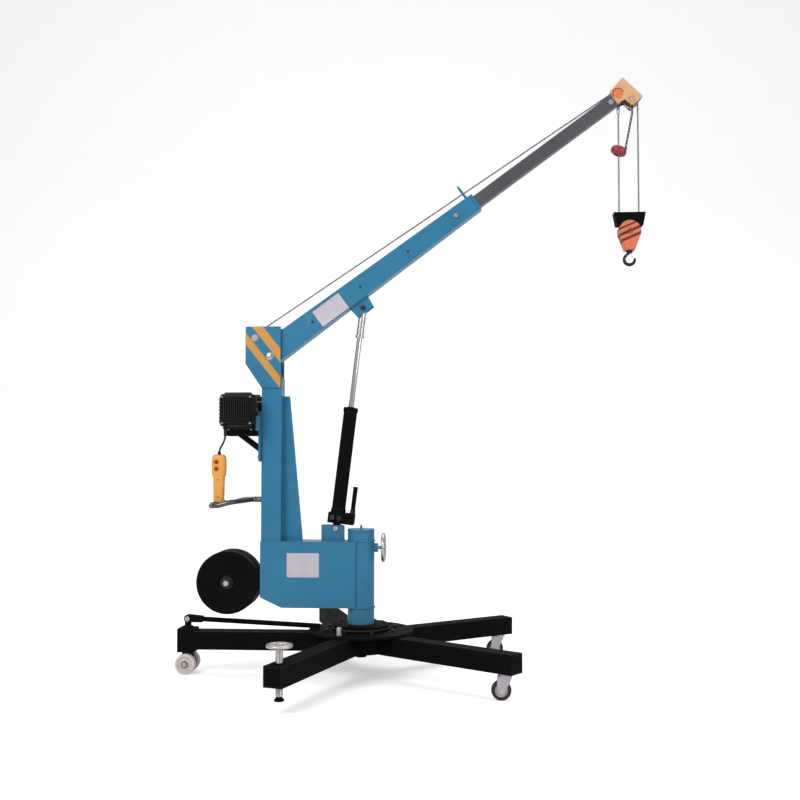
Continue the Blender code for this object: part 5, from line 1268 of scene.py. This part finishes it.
# hook, with ears under the collar that hold the latch
hookSet = {
    "radius": 0.026, "centreZ": 2.05578, "shankTop": 2.0985, "neck": 2.08898,
    "collar": mm((0, 2099.6), (15, 2099.6), (16.8, 2098.2), (16.8, 2093.6), (15, 2091.8), (8.5, 2090),
        (0, 2090)),
    "pin": (1.099657, 0, 2.089981), "pinHead": mm((0, 0), (1.5, 0), (1.1, 0.7), (0, 0.9)),
    "ear": mm((-2.2, 3), (-2.2, -1), (-1, -2.6), (1, -2.6), (2.2, -1), (2.2, 3)),
    "earFaces": (0.007, 0.0082), "hang": 0.0009, "blade": 0.0045,
    "arm": mm((-1.2, -0.9), (1.2, -0.9), (1.8, -6), (0.4, -8)), "armFaces": (0.0053, 0.0067),
}
centreZ, pin = hookSet["centreZ"], Vector(hookSet["pin"])
lead = [(hookX, 0, hookSet["shankTop"]), (hookX, 0, hookSet["neck"]), (hookX - 0.0143, 0, centreZ + 0.0234)]
bend = smoothPath(lead + arcPoints((hookX, centreZ), hookSet["radius"], 160, 375, 16), 4)


def hookGirth(t):
    belly = math.exp(-((t - 0.55) / 0.24) ** 2)
    waist = math.exp(-(t / 0.1) ** 2)  # thinner neck, where the latch swings in
    return 0.0074 + 0.001 * belly - 0.0017 * waist - 0.003 * max(0.0, (t - 0.86) / 0.14) ** 1.5


def atPin(bm, outline, faces, side):  # a plate beside the latch's pin
    slab(bm, [(pin.x + x, pin.z + z) for x, z in outline], *sorted(side * y for y in faces))


bm = bmesh.new()
sweep(bm, bend, hookGirth, 24)
lathe(bm, hookSet["collar"], upright(hookX), 40)
for side in (near, far):
    atPin(bm, hookSet["ear"], hookSet["earFaces"], side)
    lathe(bm, hookSet["pinHead"], outward(pin.x, hookSet["earFaces"][1], pin.z - 0.0004, side), 20)
keep("liftHook", bm, "darkForged", "hook", angle=50, node="hook")
bm = bmesh.new()
low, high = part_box("hook_latch")
tipX, tipZ, hang = high.x - 0.0016, low.z, pin.z - hookSet["hang"]
blade = [(pin.x - 0.0008, hang), (tipX - 0.0008, tipZ + 0.001), (tipX, tipZ), (tipX + 0.0008, tipZ + 0.001),
         (pin.x + 0.0008, hang)]
slab(bm, blade, -hookSet["blade"], hookSet["blade"])
for side in (near, far):
    atPin(bm, hookSet["arm"], hookSet["armFaces"], side)
keep("hookLatch", bm, "zincSteel", "hook_latch", 0.0004, node="hook_latch")
print("hook block made")

# floor and backdrop, white to the camera and softer as light
stageSet = {
    "depth": 6.0, "wide": 9.0, "front": -8.0, "curve": 2.2, "tall": 7.0, "colour": (0.88, 0.88, 0.88),
    "rough": 0.75, "lift": 0.4, "air": 0.4,
}
bend, start = stageSet["curve"], stageSet["depth"] - stageSet["curve"]
quarter = (math.pi / 2 * i / 24 for i in range(1, 25))
profile = [(stageSet["front"], 0.0), (start, 0.0), *[(start + bend * math.sin(a), bend * (1 - math.cos(a)))
    for a in quarter], (stageSet["depth"], stageSet["tall"])]
bm = bmesh.new()
rows = [[bm.verts.new((x, y, z)) for x in (-stageSet["wide"], stageSet["wide"])] for y, z in profile]
for a, b in zip(rows, rows[1:]):
    bm.faces.new((a[0], a[1], b[1], b[0]))
mesh = bpy.data.meshes.new("studioFloor")
bm.to_mesh(mesh)
bm.free()
floor = bpy.data.objects.new("studioFloor", mesh)
mesh.polygons.foreach_set("use_smooth", [True] * len(mesh.polygons))
scene.collection.objects.link(floor)
floorPaint, tree, shader = bare("floorPaint")
shader.inputs["Base Color"].default_value = (*stageSet["colour"], 1)
shader.inputs["Roughness"].default_value = stageSet["rough"]
shader.inputs["Specular IOR Level"].default_value = 0.0
shader.inputs["Emission Color"].default_value = (1, 1, 1, 1)
seen = add(tree, "ShaderNodeLightPath").outputs["Is Camera Ray"]
tree.links.new(calc(tree, "MULTIPLY", seen, stageSet["lift"]), shader.inputs["Emission Strength"])
mesh.materials.append(floorPaint)
world = bpy.data.worlds.new("studioAir")
scene.world = world
world.use_nodes = True
air = world.node_tree.nodes["Background"].inputs
air["Color"].default_value = (1, 1, 1, 1)
seen = add(world.node_tree, "ShaderNodeLightPath").outputs["Is Camera Ray"]
world.node_tree.links.new(ramp(world.node_tree, seen, 0.0, 1.0, stageSet["air"], 1.0), air["Strength"])
